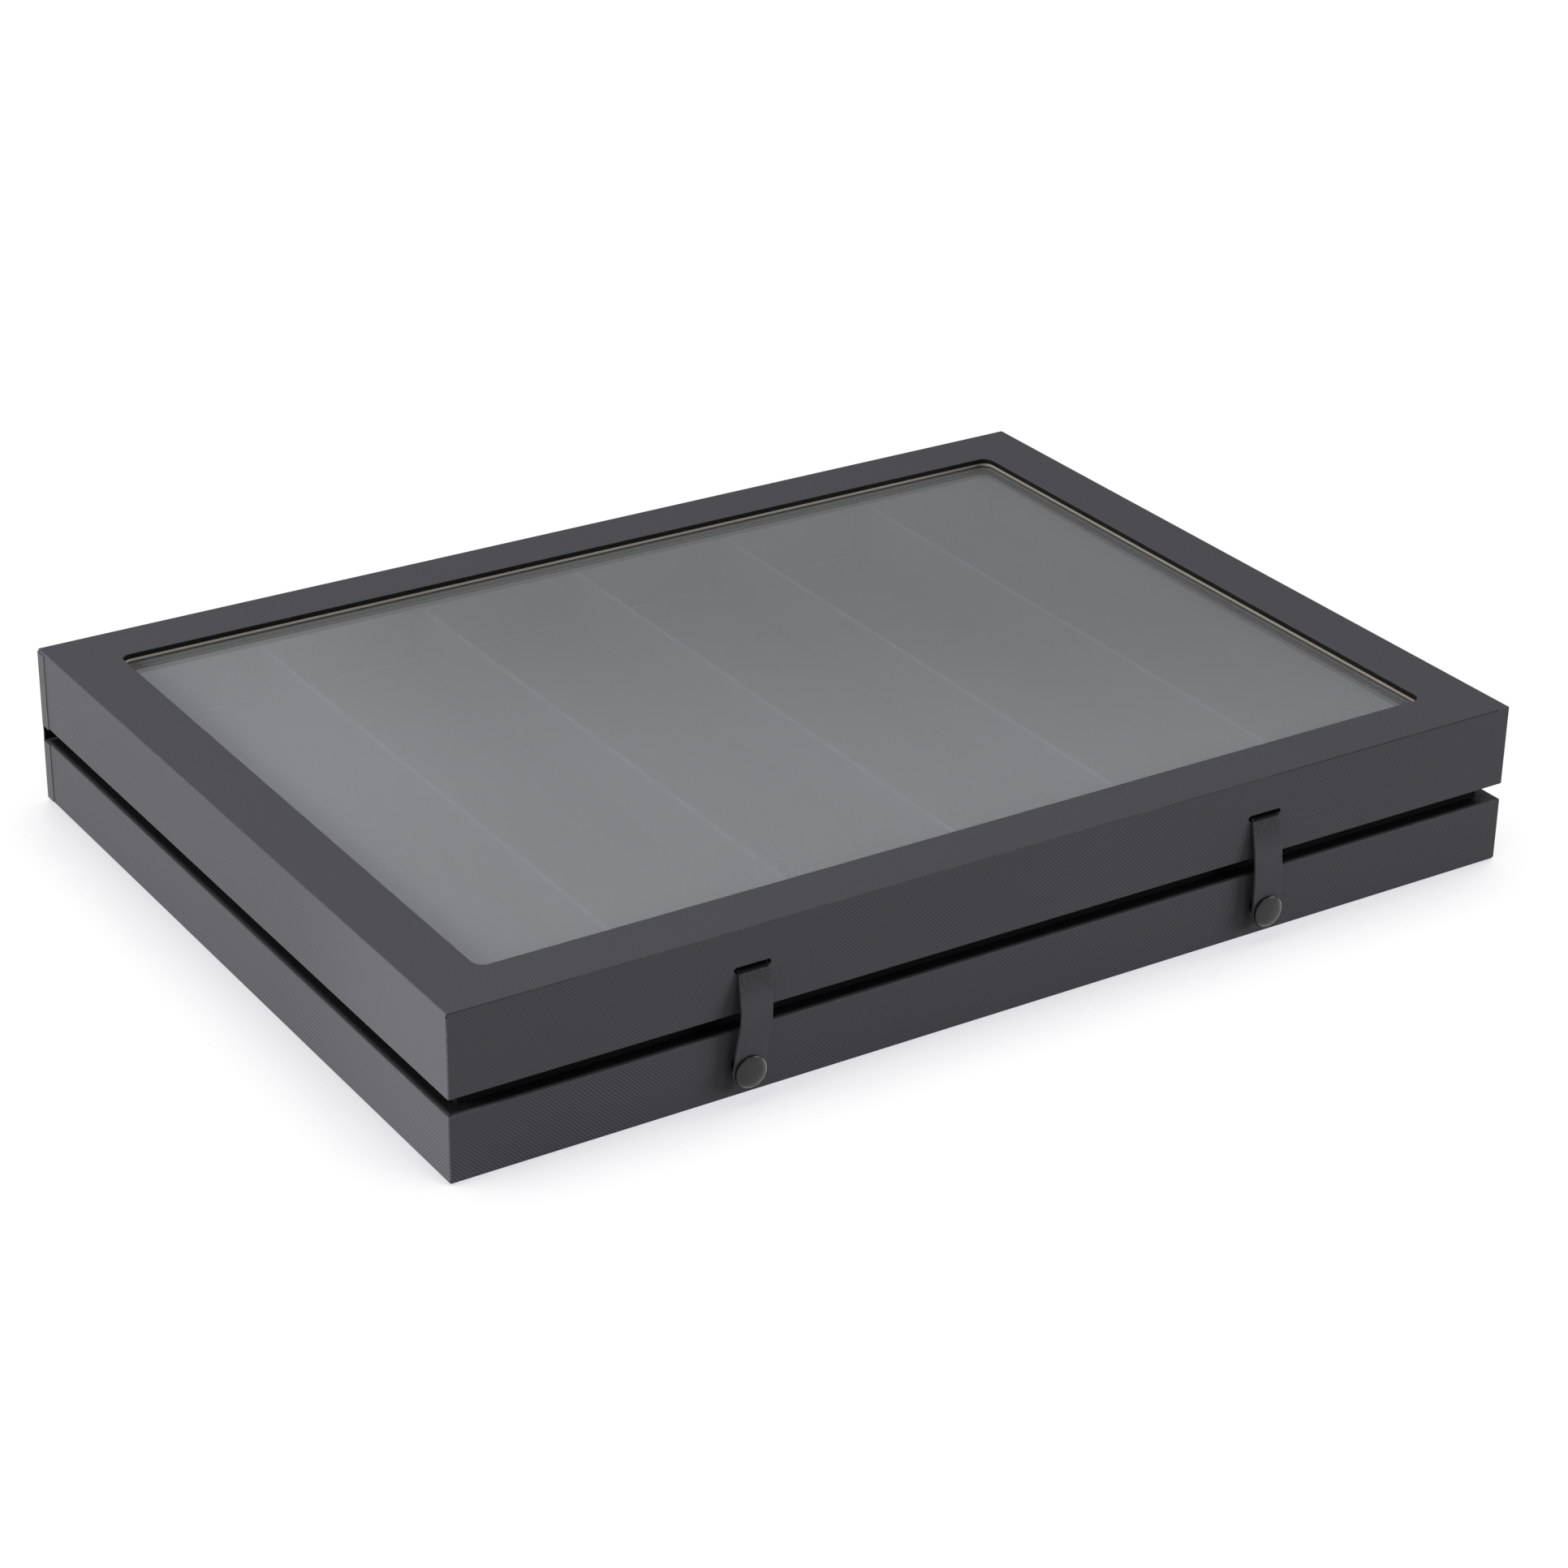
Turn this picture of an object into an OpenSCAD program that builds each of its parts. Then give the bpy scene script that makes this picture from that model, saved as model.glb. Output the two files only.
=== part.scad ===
// Glass-topped display case: a cloth-covered board case with six compartments.
// The origin is the centre of the underside, +X along the width, -Y to the front, +Z up.

/* [Case] */
// Width of the case over its covering
case_w = 350; // [300:1:420]
// Depth of the case over its covering
case_d = 255; // [200:1:320]
// Height of the base up to its ledge
base_h = 20; // [18:0.5:26]
// Height of the open gap between the ledge and the lid
reveal_h = 5; // [5:0.5:7]
// Height of the lid
lid_h = 25; // [24:0.5:32]

/* [Boards and covering] */
// Thickness of the embossed covering cloth
wrap_t = 0.4; // [0.3:0.1:0.6]
// How far the covering is turned in under the base
turn_in = 12; // [8:1:18]
// Thickness of the bottom board
bottom_t = 3; // [2:0.5:4]
// Thickness of the base's wall boards
base_wall_t = 4.6; // [4.4:0.1:6]
// Thickness of the neck boards
neck_t = 3; // [2:0.5:5]
// Room between the neck and the lid's side and rear walls
lid_side_gap = 0.8; // [0.6:0.1:1]
// Room between the neck and the lid's front, which swings inwards a little as it opens
lid_front_gap = 1.2; // [1.1:0.1:1.4]
// Thickness of the lid's outer front board
lid_front_t = 1.4; // [1.2:0.1:1.5]
// Gap at rest between the neck and the strips above it
lid_rest_gap = 0.3; // [0.2:0.1:0.5]

/* [Window] */
// Width of the lid's frame at the left and right of the window
window_side = 18.5; // [16:0.5:24]
// Width of the lid's frame in front of and behind the window
window_end = 17.5; // [16:0.5:24]
// Radius of the window's corners at the covering
window_r = 3.5; // [2:0.5:6]
// Thickness of the lid's top board
top_board_t = 1.3; // [1:0.1:1.6]
// Thickness of the card between the top board and the glass
spacer_t = 1.2; // [0.8:0.1:1.5]
// Thickness of the glass
glass_t = 2; // [2:0.5:3]
// How far the glass runs in under the frame
glass_lap = 6; // [4:0.5:7]
// Room round the edge of the glass
glass_room = 0.3; // [0.2:0.1:0.5]
// Thickness of the stop strips below the glass
stop_t = 1.5; // [1:0.1:2]
// How far the stop strips stay back from the window's edge
stop_set_back = 1; // [0.5:0.5:2]

/* [Tray] */
// Height of the compartment floor above the table
floor_z = 21; // [12:0.5:24]
// Thickness of the lined floor
floor_t = 1; // [0.8:0.1:2]
// How far the tray's walls and dividers end below the neck
tray_drop = 2.8; // [1:0.1:6]
// Thickness of the tray's walls
tray_wall_t = 2.5; // [1.5:0.5:3]
// Thickness of a divider
divider_t = 1.5; // [1:0.1:2.5]

/* [Straps and snaps] */
// Distance between the two strap slots
strap_pitch = 170; // [120:1:220]
// Distance of the strap slots below the lid's top
slot_drop = 12; // [10:0.5:16]
// Room beside a strap in its slot
slot_side_room = 0.75; // [0.25:0.25:1.5]
// Room above and below a strap in its slot
slot_room = 0.4; // [0.2:0.1:0.6]
// Width of a strap
strap_w = 10; // [8:0.5:10]
// Thickness of a strap
strap_t = 1; // [0.8:0.1:1.2]
// Gap between the hanging strap and the lid's face
strap_gap = 0.1; // [0.1:0.05:0.2]
// How far the left strap bulges outwards, then the right one
strap_bulge = [1.6, 0.3]; // [0:0.1:3]
// How far the lower end of the left strap leans sideways, then of the right one
strap_lean = [-3, 0]; // [-4:0.5:4]
// Distance of a strap's hidden tail below the lid's top
tail_drop = 3.5; // [2.5:0.5:6]
// Room round a strap's tail in its pocket
tail_room = 0.1; // [0.1:0.05:0.2]
// Height of the snaps above the table
snap_z = 9.5; // [8:0.5:11]
// Diameter of a snap's cap
cap_d = 9.4; // [8:0.2:10]
// Thickness of a snap's cap
cap_t = 1.7; // [1.2:0.1:2.2]
// Diameter of the stem that holds the cap and the socket together
stem_d = 3; // [2.4:0.2:3.6]
// Thickness of the rim of a snap's cap
cap_rim_t = 0.6; // [0.4:0.1:0.8]
// Diameter of a snap's socket
socket_d = 8; // [7:0.2:8.6]
// Room round a stud's head in the socket
socket_room = 0.4; // [0.3:0.1:0.8]
// Thickness of the plate at the back of the socket
socket_plate_t = 0.2; // [0.1:0.05:0.3]
// Diameter of a stud's foot
stud_foot_d = 7.5; // [6:0.1:8]
// Thickness of a stud's foot
stud_foot_t = 0.5; // [0.4:0.1:0.6]
// Diameter of a stud's head
stud_head_d = 3.6; // [3.2:0.1:4]
// Height of a stud's head over its foot
stud_head_h = 1; // [0.8:0.1:1.2]
// How far a stud's waist is drawn in under its head
stud_waist = 0.3; // [0.1:0.05:0.4]
// Gap between stud and socket while the strap hangs
stud_gap = 0.3; // [0.2:0.1:0.4]
// Diameter of the rivet post through the base's front wall
post_d = 2; // [1.6:0.1:2.4]
// Diameter of the rivet post's flange inside the wall
post_flange_d = 7; // [6:0.5:8]
// Thickness of the rivet post's flange
post_flange_t = 0.6; // [0.4:0.1:0.8]
// Room round posts and stems in their holes
hole_room = 0.1; // [0.05:0.05:0.2]

/* [Hinge] */
// Thickness of the hinge cloth
hinge_t = 0.3; // [0.2:0.1:0.5]
// How far the hinge cloth wraps round the rear corners
hinge_wing = 4.5; // [3:0.5:8]
// How far the hinge cloth stays back from the top and bottom edges
hinge_margin = 1; // [0.5:0.5:3]

/* [Hidden] */
$fn = 48;

// The number of compartments, which the dividers' nodes fix
compartments = 6;

// Heights, from the table upwards
total_h = base_h + reveal_h + lid_h;
lid_z = base_h + reveal_h;
bottom_top_z = wrap_t + bottom_t;
top_board_z = total_h - wrap_t - top_board_t;
spacer_z = top_board_z - spacer_t;
glass_z = spacer_z - glass_t;
stop_z = glass_z - stop_t;
neck_top_z = stop_z - lid_rest_gap;
tray_h = neck_top_z - tray_drop - floor_z;
slot_z = total_h - slot_drop;
tail_h = slot_drop - tail_drop - strap_t / 2;

// Distances in from the case's outer faces
ledge = wrap_t + base_wall_t;
neck_inner = ledge + neck_t;
tray_inner = neck_inner + tray_wall_t;
lid_wall_inner = ledge - lid_side_gap;
lid_front_inner = ledge - lid_front_gap;
lid_front_board = wrap_t + lid_front_t;
lid_board_inner = lid_wall_inner - wrap_t;
lid_liner_inner = lid_front_inner - wrap_t;

// Compartments between the tray walls, with one more divider than falls inside
tray_w = case_w - 2 * tray_inner;
divider_pitch = (tray_w + divider_t) / compartments;

// Faces of the case
left_x = -case_w / 2;
front_y = -case_d / 2;
rear_y = case_d / 2;

// The slots, sized to their straps
slot_w = strap_w + 2 * slot_side_room;
slot_h = strap_t + 2 * slot_room;

// The strap's path: its middle at the slot, and at the snap while it hangs
slot_out = strap_gap + strap_t / 2;
stud_out = stud_foot_t + stud_head_h;
socket_t = stud_head_h + socket_plate_t;
strap_inner_out = stud_out + stud_gap + socket_t;
snap_out = strap_inner_out + strap_t / 2;
strap_outer_out = strap_inner_out + strap_t;
strap_flat_z = snap_z + strap_w / 2;
strap_steps = 12;
arc_step = 15;

// How far a cutting block runs past what it cuts
cut = 1;

cloth = [0.23, 0.23, 0.25];
dark_cloth = [0.1, 0.1, 0.11];
lining = [0.2, 0.2, 0.21];
leather = [0.2, 0.2, 0.21];
greyboard = [0.55, 0.52, 0.48];
cream_card = [0.78, 0.72, 0.62];
gunmetal = [0.3, 0.3, 0.32];
steel = [0.7, 0.7, 0.72];

// A block between two heights whose sides stay back by side from left and right, and by front and
// rear from the front and the rear face of the case
module slab(z0, z1, side, front, rear) {
    translate([left_x + side, front_y + front, z0])
        cube([case_w - 2 * side, case_d - front - rear, z1 - z0]);
}

// The same with one distance all round
module inset_slab(z0, z1, inset) {
    slab(z0, z1, inset, inset, inset);
}

// The window's outline, grown all round by grow
module window_shape(grow) {
    w = case_w - 2 * window_side + 2 * grow;
    d = case_d - 2 * window_end + 2 * grow;
    r = window_r + grow;
    square([w - 2 * r, d], center = true);
    square([w, d - 2 * r], center = true);
    for (x = [-1, 1], y = [-1, 1])
        translate([x * (w / 2 - r), y * (d / 2 - r)])
            circle(r);
}

// The window as a block that cuts between two heights
module window_block(z0, z1, grow) {
    translate([0, 0, z0])
        linear_extrude(z1 - z0)
            window_shape(grow);
}

// Boards along the front and the rear, between two distances in from that face
module front_board(z0, z1, side, outer, inner) {
    translate([left_x + side, front_y + outer, z0])
        cube([case_w - 2 * side, inner - outer, z1 - z0]);
}

module rear_board(z0, z1, side, outer, inner) {
    translate([left_x + side, rear_y - inner, z0])
        cube([case_w - 2 * side, inner - outer, z1 - z0]);
}

// Boards along the sides, between two distances in from that face, which end at front and rear
module left_board(z0, z1, outer, inner, front, rear) {
    translate([left_x + outer, front_y + front, z0])
        cube([inner - outer, case_d - front - rear, z1 - z0]);
}

module right_board(z0, z1, outer, inner, front, rear) {
    mirror([1, 0, 0])
        left_board(z0, z1, outer, inner, front, rear);
}

// Where a strap's slot and its snap lie: side is -1 for the left strap and 1 for the right one
function slot_x(side) = side * strap_pitch / 2;
function lean(side) = side < 0 ? strap_lean[0] : strap_lean[1];
function bulge(side) = side < 0 ? strap_bulge[0] : strap_bulge[1];
function snap_x(side) = slot_x(side) + lean(side);

// A turned piece whose axis points forwards out of the case's front, standing out by out
module turned(side, out) {
    translate([snap_x(side), front_y - out, snap_z])
        rotate([90, 0, 0])
            children();
}

// Base

module underside_sheet() {
    color(lining)
        inset_slab(0, wrap_t, turn_in);
}

module base_bottom_board() {
    color(greyboard)
        inset_slab(wrap_t, bottom_top_z, ledge);
}

module base_front_wall() {
    color(greyboard)
        difference() {
            front_board(wrap_t, base_h - wrap_t, wrap_t, wrap_t, ledge);
            for (side = [-1, 1]) {
                turned(side, -ledge - cut)
                    cylinder(d = post_d + 2 * hole_room, h = ledge + 2 * cut);
                turned(side, -ledge - cut)
                    cylinder(d = post_flange_d + 2 * hole_room, h = cut + post_flange_t);
            }
        }
}

module base_rear_wall() {
    color(greyboard)
        rear_board(wrap_t, base_h - wrap_t, wrap_t, wrap_t, ledge);
}

module base_left_wall() {
    color(greyboard)
        left_board(wrap_t, base_h - wrap_t, wrap_t, ledge, ledge, ledge);
}

module base_right_wall() {
    color(greyboard)
        right_board(wrap_t, base_h - wrap_t, wrap_t, ledge, ledge, ledge);
}

module base_wrap() {
    color(cloth)
        difference() {
            inset_slab(0, base_h, 0);
            inset_slab(wrap_t, base_h - wrap_t, wrap_t);
            inset_slab(base_h - wrap_t - cut, base_h + cut, ledge);
            inset_slab(-cut, wrap_t + cut, turn_in);
            for (side = [-1, 1])
                turned(side, -wrap_t - cut)
                    cylinder(d = post_d + 2 * hole_room, h = wrap_t + 2 * cut);
        }
}

module neck_front() {
    color(dark_cloth)
        front_board(bottom_top_z, neck_top_z, ledge, ledge, neck_inner);
}

module neck_rear() {
    color(dark_cloth)
        rear_board(bottom_top_z, neck_top_z, ledge, ledge, neck_inner);
}

module neck_left() {
    color(dark_cloth)
        left_board(bottom_top_z, neck_top_z, ledge, neck_inner, neck_inner, neck_inner);
}

module neck_right() {
    color(dark_cloth)
        right_board(bottom_top_z, neck_top_z, ledge, neck_inner, neck_inner, neck_inner);
}

module floor_pad() {
    color(greyboard)
        inset_slab(bottom_top_z, floor_z - floor_t, neck_inner);
}

module tray_floor() {
    color(lining)
        inset_slab(floor_z - floor_t, floor_z, neck_inner);
}

module tray_front_wall() {
    color(lining)
        front_board(floor_z, floor_z + tray_h, neck_inner, neck_inner, tray_inner);
}

module tray_rear_wall() {
    color(lining)
        rear_board(floor_z, floor_z + tray_h, neck_inner, neck_inner, tray_inner);
}

module tray_left_wall() {
    color(lining)
        left_board(floor_z, floor_z + tray_h, neck_inner, tray_inner, tray_inner, tray_inner);
}

module tray_right_wall() {
    color(lining)
        right_board(floor_z, floor_z + tray_h, neck_inner, tray_inner, tray_inner, tray_inner);
}

module divider(number) {
    color(lining)
        translate([left_x + tray_inner + number * divider_pitch - divider_t, front_y + tray_inner, floor_z])
            cube([divider_t, case_d - 2 * tray_inner, tray_h]);
}

// A press stud's foot and waisted head, turned as one piece, with a blind bore for its post
module snap_stud(side) {
    bore_d = post_d + 2 * hole_room;
    bore_h = stud_foot_t + stud_head_h / 2;
    waist_d = stud_head_d - 2 * stud_waist;
    waist_top = stud_foot_t + stud_head_h / 2;
    color(steel)
        turned(side, 0)
            rotate_extrude()
                polygon([[0, bore_h], [bore_d / 2, bore_h], [bore_d / 2, 0], [stud_foot_d / 2, 0],
                         [stud_foot_d / 2, stud_foot_t], [waist_d / 2, stud_foot_t],
                         [waist_d / 2, waist_top], [stud_head_d / 2, waist_top],
                         [stud_head_d / 2, stud_out - stud_waist], [waist_d / 2, stud_out],
                         [0, stud_out]]);
}

// The rivet post behind it: a flange let into the wall and a shank that ends in the stud's bore
module snap_post(side) {
    color(steel)
        turned(side, -ledge) {
            cylinder(d = post_flange_d, h = post_flange_t);
            cylinder(d = post_d, h = ledge + stud_foot_t);
        }
}

// Hinge cloth glued behind a wall and wrapped round both corners, between two heights
module hinge_leaf(z0, z1) {
    color(cloth)
        difference() {
            translate([left_x - hinge_t, rear_y - hinge_wing, z0])
                cube([case_w + 2 * hinge_t, hinge_wing + hinge_t, z1 - z0]);
            translate([left_x, rear_y - hinge_wing - cut, z0 - cut])
                cube([case_w, hinge_wing + cut, z1 - z0 + 2 * cut]);
        }
}

module hinge_leaf_base() {
    hinge_leaf(hinge_margin, base_h);
}

module hinge_leaf_lid() {
    hinge_leaf(lid_z, total_h - hinge_margin);
}

module hinge_fold() {
    color(dark_cloth)
        translate([left_x, rear_y, base_h])
            cube([case_w, hinge_t, reveal_h]);
}

// Lid

module lid_top_board() {
    color(greyboard)
        difference() {
            inset_slab(top_board_z, total_h - wrap_t, wrap_t);
            window_block(top_board_z - cut, total_h + cut, wrap_t);
        }
}

// Both strap slots, cut through the front between two distances in from its face
module strap_slots(outer, inner) {
    flat = slot_w - slot_h;
    for (side = [-1, 1])
        translate([slot_x(side), front_y + inner, slot_z])
            rotate([90, 0, 0])
                linear_extrude(inner - outer) {
                    square([flat, slot_h], center = true);
                    for (end = [-1, 1])
                        translate([end * flat / 2, 0])
                            circle(d = slot_h);
                }
}

// Where a strap's tail climbs between the front board and the liner, grown all round by room
module tail_climb(side, room) {
    translate([slot_x(side) - strap_w / 2 - room, front_y + lid_front_board - room, slot_z - strap_t / 2 - room])
        cube([strap_w + 2 * room, strap_t + 2 * room, strap_t + tail_h + 2 * room]);
}

module lid_front_wall() {
    color(greyboard)
        difference() {
            front_board(lid_z + wrap_t, top_board_z, wrap_t, wrap_t, lid_front_board);
            strap_slots(wrap_t - cut, lid_front_board + cut);
        }
}

module lid_front_liner() {
    color(greyboard)
        difference() {
            front_board(lid_z + wrap_t, top_board_z, wrap_t, lid_front_board, lid_liner_inner);
            for (side = [-1, 1])
                tail_climb(side, tail_room);
        }
}

module lid_rear_wall() {
    color(greyboard)
        rear_board(lid_z + wrap_t, top_board_z, wrap_t, wrap_t, lid_board_inner);
}

module lid_left_wall() {
    color(greyboard)
        left_board(lid_z + wrap_t, top_board_z, wrap_t, lid_board_inner, lid_liner_inner, lid_board_inner);
}

module lid_right_wall() {
    color(greyboard)
        right_board(lid_z + wrap_t, top_board_z, wrap_t, lid_board_inner, lid_liner_inner, lid_board_inner);
}

// The covering: over the outside, round the window's edge, and round the lid's lower edge and up
// inside it to the stop strips
module lid_wrap() {
    color(cloth)
        difference() {
            inset_slab(lid_z, total_h, 0);
            difference() {
                inset_slab(lid_z + wrap_t, total_h - wrap_t, wrap_t);
                window_block(top_board_z, total_h, wrap_t);
                slab(lid_z, stop_z, lid_board_inner, lid_liner_inner, lid_board_inner);
            }
            slab(lid_z - cut, stop_z + cut, lid_wall_inner, lid_front_inner, lid_wall_inner);
            window_block(top_board_z - cut, total_h + cut, 0);
            strap_slots(-cut, wrap_t + cut);
        }
}

module glass_spacer() {
    color(cream_card)
        difference() {
            slab(spacer_z, top_board_z, lid_board_inner, lid_liner_inner, lid_board_inner);
            window_block(spacer_z - cut, top_board_z + cut, 0);
        }
}

module glass_pane() {
    color([0.75, 0.8, 0.82, 0.35])
        slab(glass_z, spacer_z, window_side - glass_lap, window_end - glass_lap, window_end - glass_lap);
}

// The room that the pane takes in the stop strips
module glass_rebate() {
    side = window_side - glass_lap - glass_room;
    end = window_end - glass_lap - glass_room;
    slab(glass_z, spacer_z + cut, side, end, end);
}

module glass_stop_front() {
    color(dark_cloth)
        difference() {
            front_board(stop_z, spacer_z, lid_board_inner, lid_liner_inner, window_end - stop_set_back);
            glass_rebate();
        }
}

module glass_stop_rear() {
    color(dark_cloth)
        difference() {
            rear_board(stop_z, spacer_z, lid_board_inner, lid_board_inner, window_end - stop_set_back);
            glass_rebate();
        }
}

module stop_side() {
    end = window_end - stop_set_back;
    difference() {
        left_board(stop_z, spacer_z, lid_board_inner, window_side - stop_set_back, end, end);
        glass_rebate();
    }
}

module glass_stop_left() {
    color(dark_cloth)
        stop_side();
}

module glass_stop_right() {
    color(dark_cloth)
        mirror([1, 0, 0])
            stop_side();
}

// Straps

// The hidden end of a strap: in through the slot and up behind the front board
module strap_tail(side) {
    color(leather) {
        translate([slot_x(side) - strap_w / 2, front_y, slot_z - strap_t / 2])
            cube([strap_w, lid_front_board + strap_t, strap_t]);
        tail_climb(side, 0);
    }
}

// How far the middle of the strap stands out of the front at step i of its curved stretch
function strap_out(side, i) =
    slot_out + (snap_out - slot_out) * sin(90 * i / strap_steps)
    + bulge(side) * pow(sin(180 * i / strap_steps), 2);
function strap_z(i) = slot_z + (strap_flat_z - slot_z) * i / strap_steps;

// One face of the strap as seen from the side, offset from its middle by off
function strap_face(side, off) = [
    for (i = [0:strap_steps]) [front_y - strap_out(side, i) - off, strap_z(i)],
    [front_y - snap_out - off, snap_z - strap_w / 2 - cut]
];
// The strap's round upper end about the line that it swings on
strap_top = [
    for (a = [arc_step:arc_step:180 - arc_step])
        [front_y - slot_out + strap_t / 2 * cos(a), slot_z + strap_t / 2 * sin(a)]
];
function backwards(list) = [for (i = [len(list) - 1:-1:0]) list[i]];

// The strap seen from the side, carried across its width
module strap_side(side) {
    reach = strap_w + abs(lean(side));
    translate([slot_x(side) - reach, 0, 0])
        rotate([90, 0, 90])
            linear_extrude(2 * reach)
                polygon(concat(strap_top, strap_face(side, strap_t / 2),
                               backwards(strap_face(side, -strap_t / 2))));
}

// The strap's round lower end about its snap
function strap_end(side) = [
    for (a = [0:-arc_step:-180]) [lean(side) + strap_w / 2 * cos(a), snap_z + strap_w / 2 * sin(a)]
];

// The strap seen from the front: it leans towards its snap and ends round
module strap_front(side) {
    half = strap_w / 2;
    deep = snap_out + bulge(side) + 2 * strap_t;
    translate([slot_x(side), front_y + cut, 0])
        rotate([90, 0, 0])
            linear_extrude(deep + cut)
                difference() {
                    polygon(concat([[-half, slot_z + strap_t], [half, slot_z + strap_t]],
                                   [[half, slot_z - strap_t]], strap_end(side), [[-half, slot_z - strap_t]]));
                    translate([lean(side), snap_z])
                        circle(d = stem_d + 2 * hole_room);
                }
}

module strap(side) {
    color(leather)
        intersection() {
            strap_side(side);
            strap_front(side);
        }
}

// A low dome on a stem that passes through the strap
module snap_cap(side) {
    crown = cap_t - cap_rim_t;
    r = cap_d / 2;
    sphere_r = (r * r + crown * crown) / (2 * crown);
    color(gunmetal)
        turned(side, strap_outer_out)
            rotate_extrude()
                union() {
                    translate([0, -strap_t])
                        square([stem_d / 2, strap_t + cap_rim_t]);
                    square([r, cap_rim_t]);
                    intersection() {
                        translate([0, cap_t - sphere_r])
                            circle(sphere_r, $fn = 180);
                        translate([0, cap_rim_t])
                            square([r, crown]);
                    }
                }
}

// A ring whose open side takes the stud's head
module snap_socket(side) {
    mouth_d = stud_head_d + 2 * socket_room;
    color(steel)
        turned(side, strap_inner_out - socket_t)
            difference() {
                cylinder(d = socket_d, h = socket_t);
                translate([0, 0, -cut])
                    cylinder(d = mouth_d, h = cut + socket_t - socket_plate_t);
            }
}

underside_sheet();
base_bottom_board();
base_front_wall();
base_rear_wall();
base_left_wall();
base_right_wall();
base_wrap();
neck_front();
neck_rear();
neck_left();
neck_right();
floor_pad();
tray_floor();
tray_front_wall();
tray_rear_wall();
tray_left_wall();
tray_right_wall();
divider(1);  // divider_1
divider(2);  // divider_2
divider(3);  // divider_3
divider(4);  // divider_4
divider(5);  // divider_5
snap_stud(-1);  // snap_stud_left
snap_stud(1);  // snap_stud_right
snap_post(-1);  // snap_post_left
snap_post(1);  // snap_post_right
hinge_leaf_base();
hinge_fold();
lid_top_board();
lid_front_wall();
lid_front_liner();
lid_rear_wall();
lid_left_wall();
lid_right_wall();
lid_wrap();
glass_spacer();
glass_pane();
glass_stop_front();
glass_stop_rear();
glass_stop_left();
glass_stop_right();
strap_tail(-1);  // strap_tail_left
strap_tail(1);  // strap_tail_right
hinge_leaf_lid();
strap(-1);  // strap_left
snap_cap(-1);  // snap_cap_left
snap_socket(-1);  // snap_socket_left
strap(1);  // strap_right
snap_cap(1);  // snap_cap_right
snap_socket(1);  // snap_socket_right
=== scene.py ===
"""A cloth-covered display case with a glass-topped lid, two straps and their snaps."""

import math

import bmesh
import bpy
from mathutils import Matrix, Vector


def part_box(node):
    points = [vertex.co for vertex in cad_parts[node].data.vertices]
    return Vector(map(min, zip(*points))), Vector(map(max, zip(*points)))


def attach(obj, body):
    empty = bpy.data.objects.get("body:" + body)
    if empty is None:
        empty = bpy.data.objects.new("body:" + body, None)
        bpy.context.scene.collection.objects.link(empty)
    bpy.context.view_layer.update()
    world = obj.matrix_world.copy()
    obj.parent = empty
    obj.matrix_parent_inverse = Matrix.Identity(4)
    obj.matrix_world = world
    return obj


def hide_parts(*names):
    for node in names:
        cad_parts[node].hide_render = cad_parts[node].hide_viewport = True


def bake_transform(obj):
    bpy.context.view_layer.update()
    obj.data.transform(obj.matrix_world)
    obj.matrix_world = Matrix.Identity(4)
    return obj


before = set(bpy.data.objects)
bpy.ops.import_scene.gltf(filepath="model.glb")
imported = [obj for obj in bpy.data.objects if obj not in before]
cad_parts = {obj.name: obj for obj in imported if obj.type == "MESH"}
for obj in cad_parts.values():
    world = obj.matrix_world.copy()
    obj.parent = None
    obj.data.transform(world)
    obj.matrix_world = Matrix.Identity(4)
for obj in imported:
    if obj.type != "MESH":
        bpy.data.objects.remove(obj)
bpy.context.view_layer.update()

MM = 0.001
SIDES = ("left", "right")
AROUND = ("front", "rear", "left", "right")

# The case, in millimetres
CLOTH = 0.4          # thickness of the covering
FOLD = 0.45          # radius of its folds
FOOT_FOLD = 1.2      # radius of the folds under the base
TURN_IN = 12         # covering turned in under the base
LEDGE = 5            # ledge round the neck
WINDOW_SIDE = 18.5   # frame left and right of the window
WINDOW_END = 17.5    # frame in front of and behind it
WINDOW_EDGE = 1.7    # depth of the covered window edge
WINDOW_R = 3.5       # radius of the window's corners
LEG_SIDE = 4.2       # inner leg of the lid's covering, in from the sides and the rear
LEG_FRONT = 3.8      # the same at the front
HINGE_CLOTH = 0.3    # thickness of the hinge cloth
TRAY_FLOOR = 21      # top of the tray's floor
TRAY_REAR = 117      # front of its rear wall
PARTITION_TOP = 40.5
WEAVE = 0.61         # from one rib of the cloth to the next

# The straps and their snaps
SLOT_W = 11.5
SLOT_H = 1.8
SLOT_Z = 38          # height of the middle of the slots
STRAP_W = 9.6
STRAP_T = 0.9
STRAP_TURN = 0.5     # radius of its middle where it turns into and out of the slot
SNAP_Z = 9.5         # height of the snaps
SNAP_OUT = 3.5       # middle of the strap in front of the case at the snap
SLOT_OUT = 0.5       # the same at the slot
SLOT_REST = 37.55    # height of its middle in the slot, where it lies on the lower edge
BULGE = {"left": 1.6, "right": 0.3}    # how far it stands out on its way down
LEAN = {"left": -3, "right": 0}        # how far its lower end lies to one side
TAIL_TOP = 46.5
TAIL_Y = -125.2
POST_HOLE = 1.05     # radius of the hole for the stud's rivet in the base's covering
STEM_HOLE = 1.6      # radius of the hole for the cap's stem in the strap


# Bench work

def take(piece):
    """Only this piece is picked up."""
    bpy.ops.object.select_all(action="DESELECT")
    piece.select_set(True)
    bpy.context.view_layer.objects.active = piece
    return piece


def settle(piece):
    """The piece's place goes into its mesh."""
    take(piece)
    bpy.ops.object.transform_apply(location=True, rotation=True, scale=True)
    return piece


def name_piece(piece, name):
    piece.name = name
    piece.data.name = name
    return piece


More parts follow.
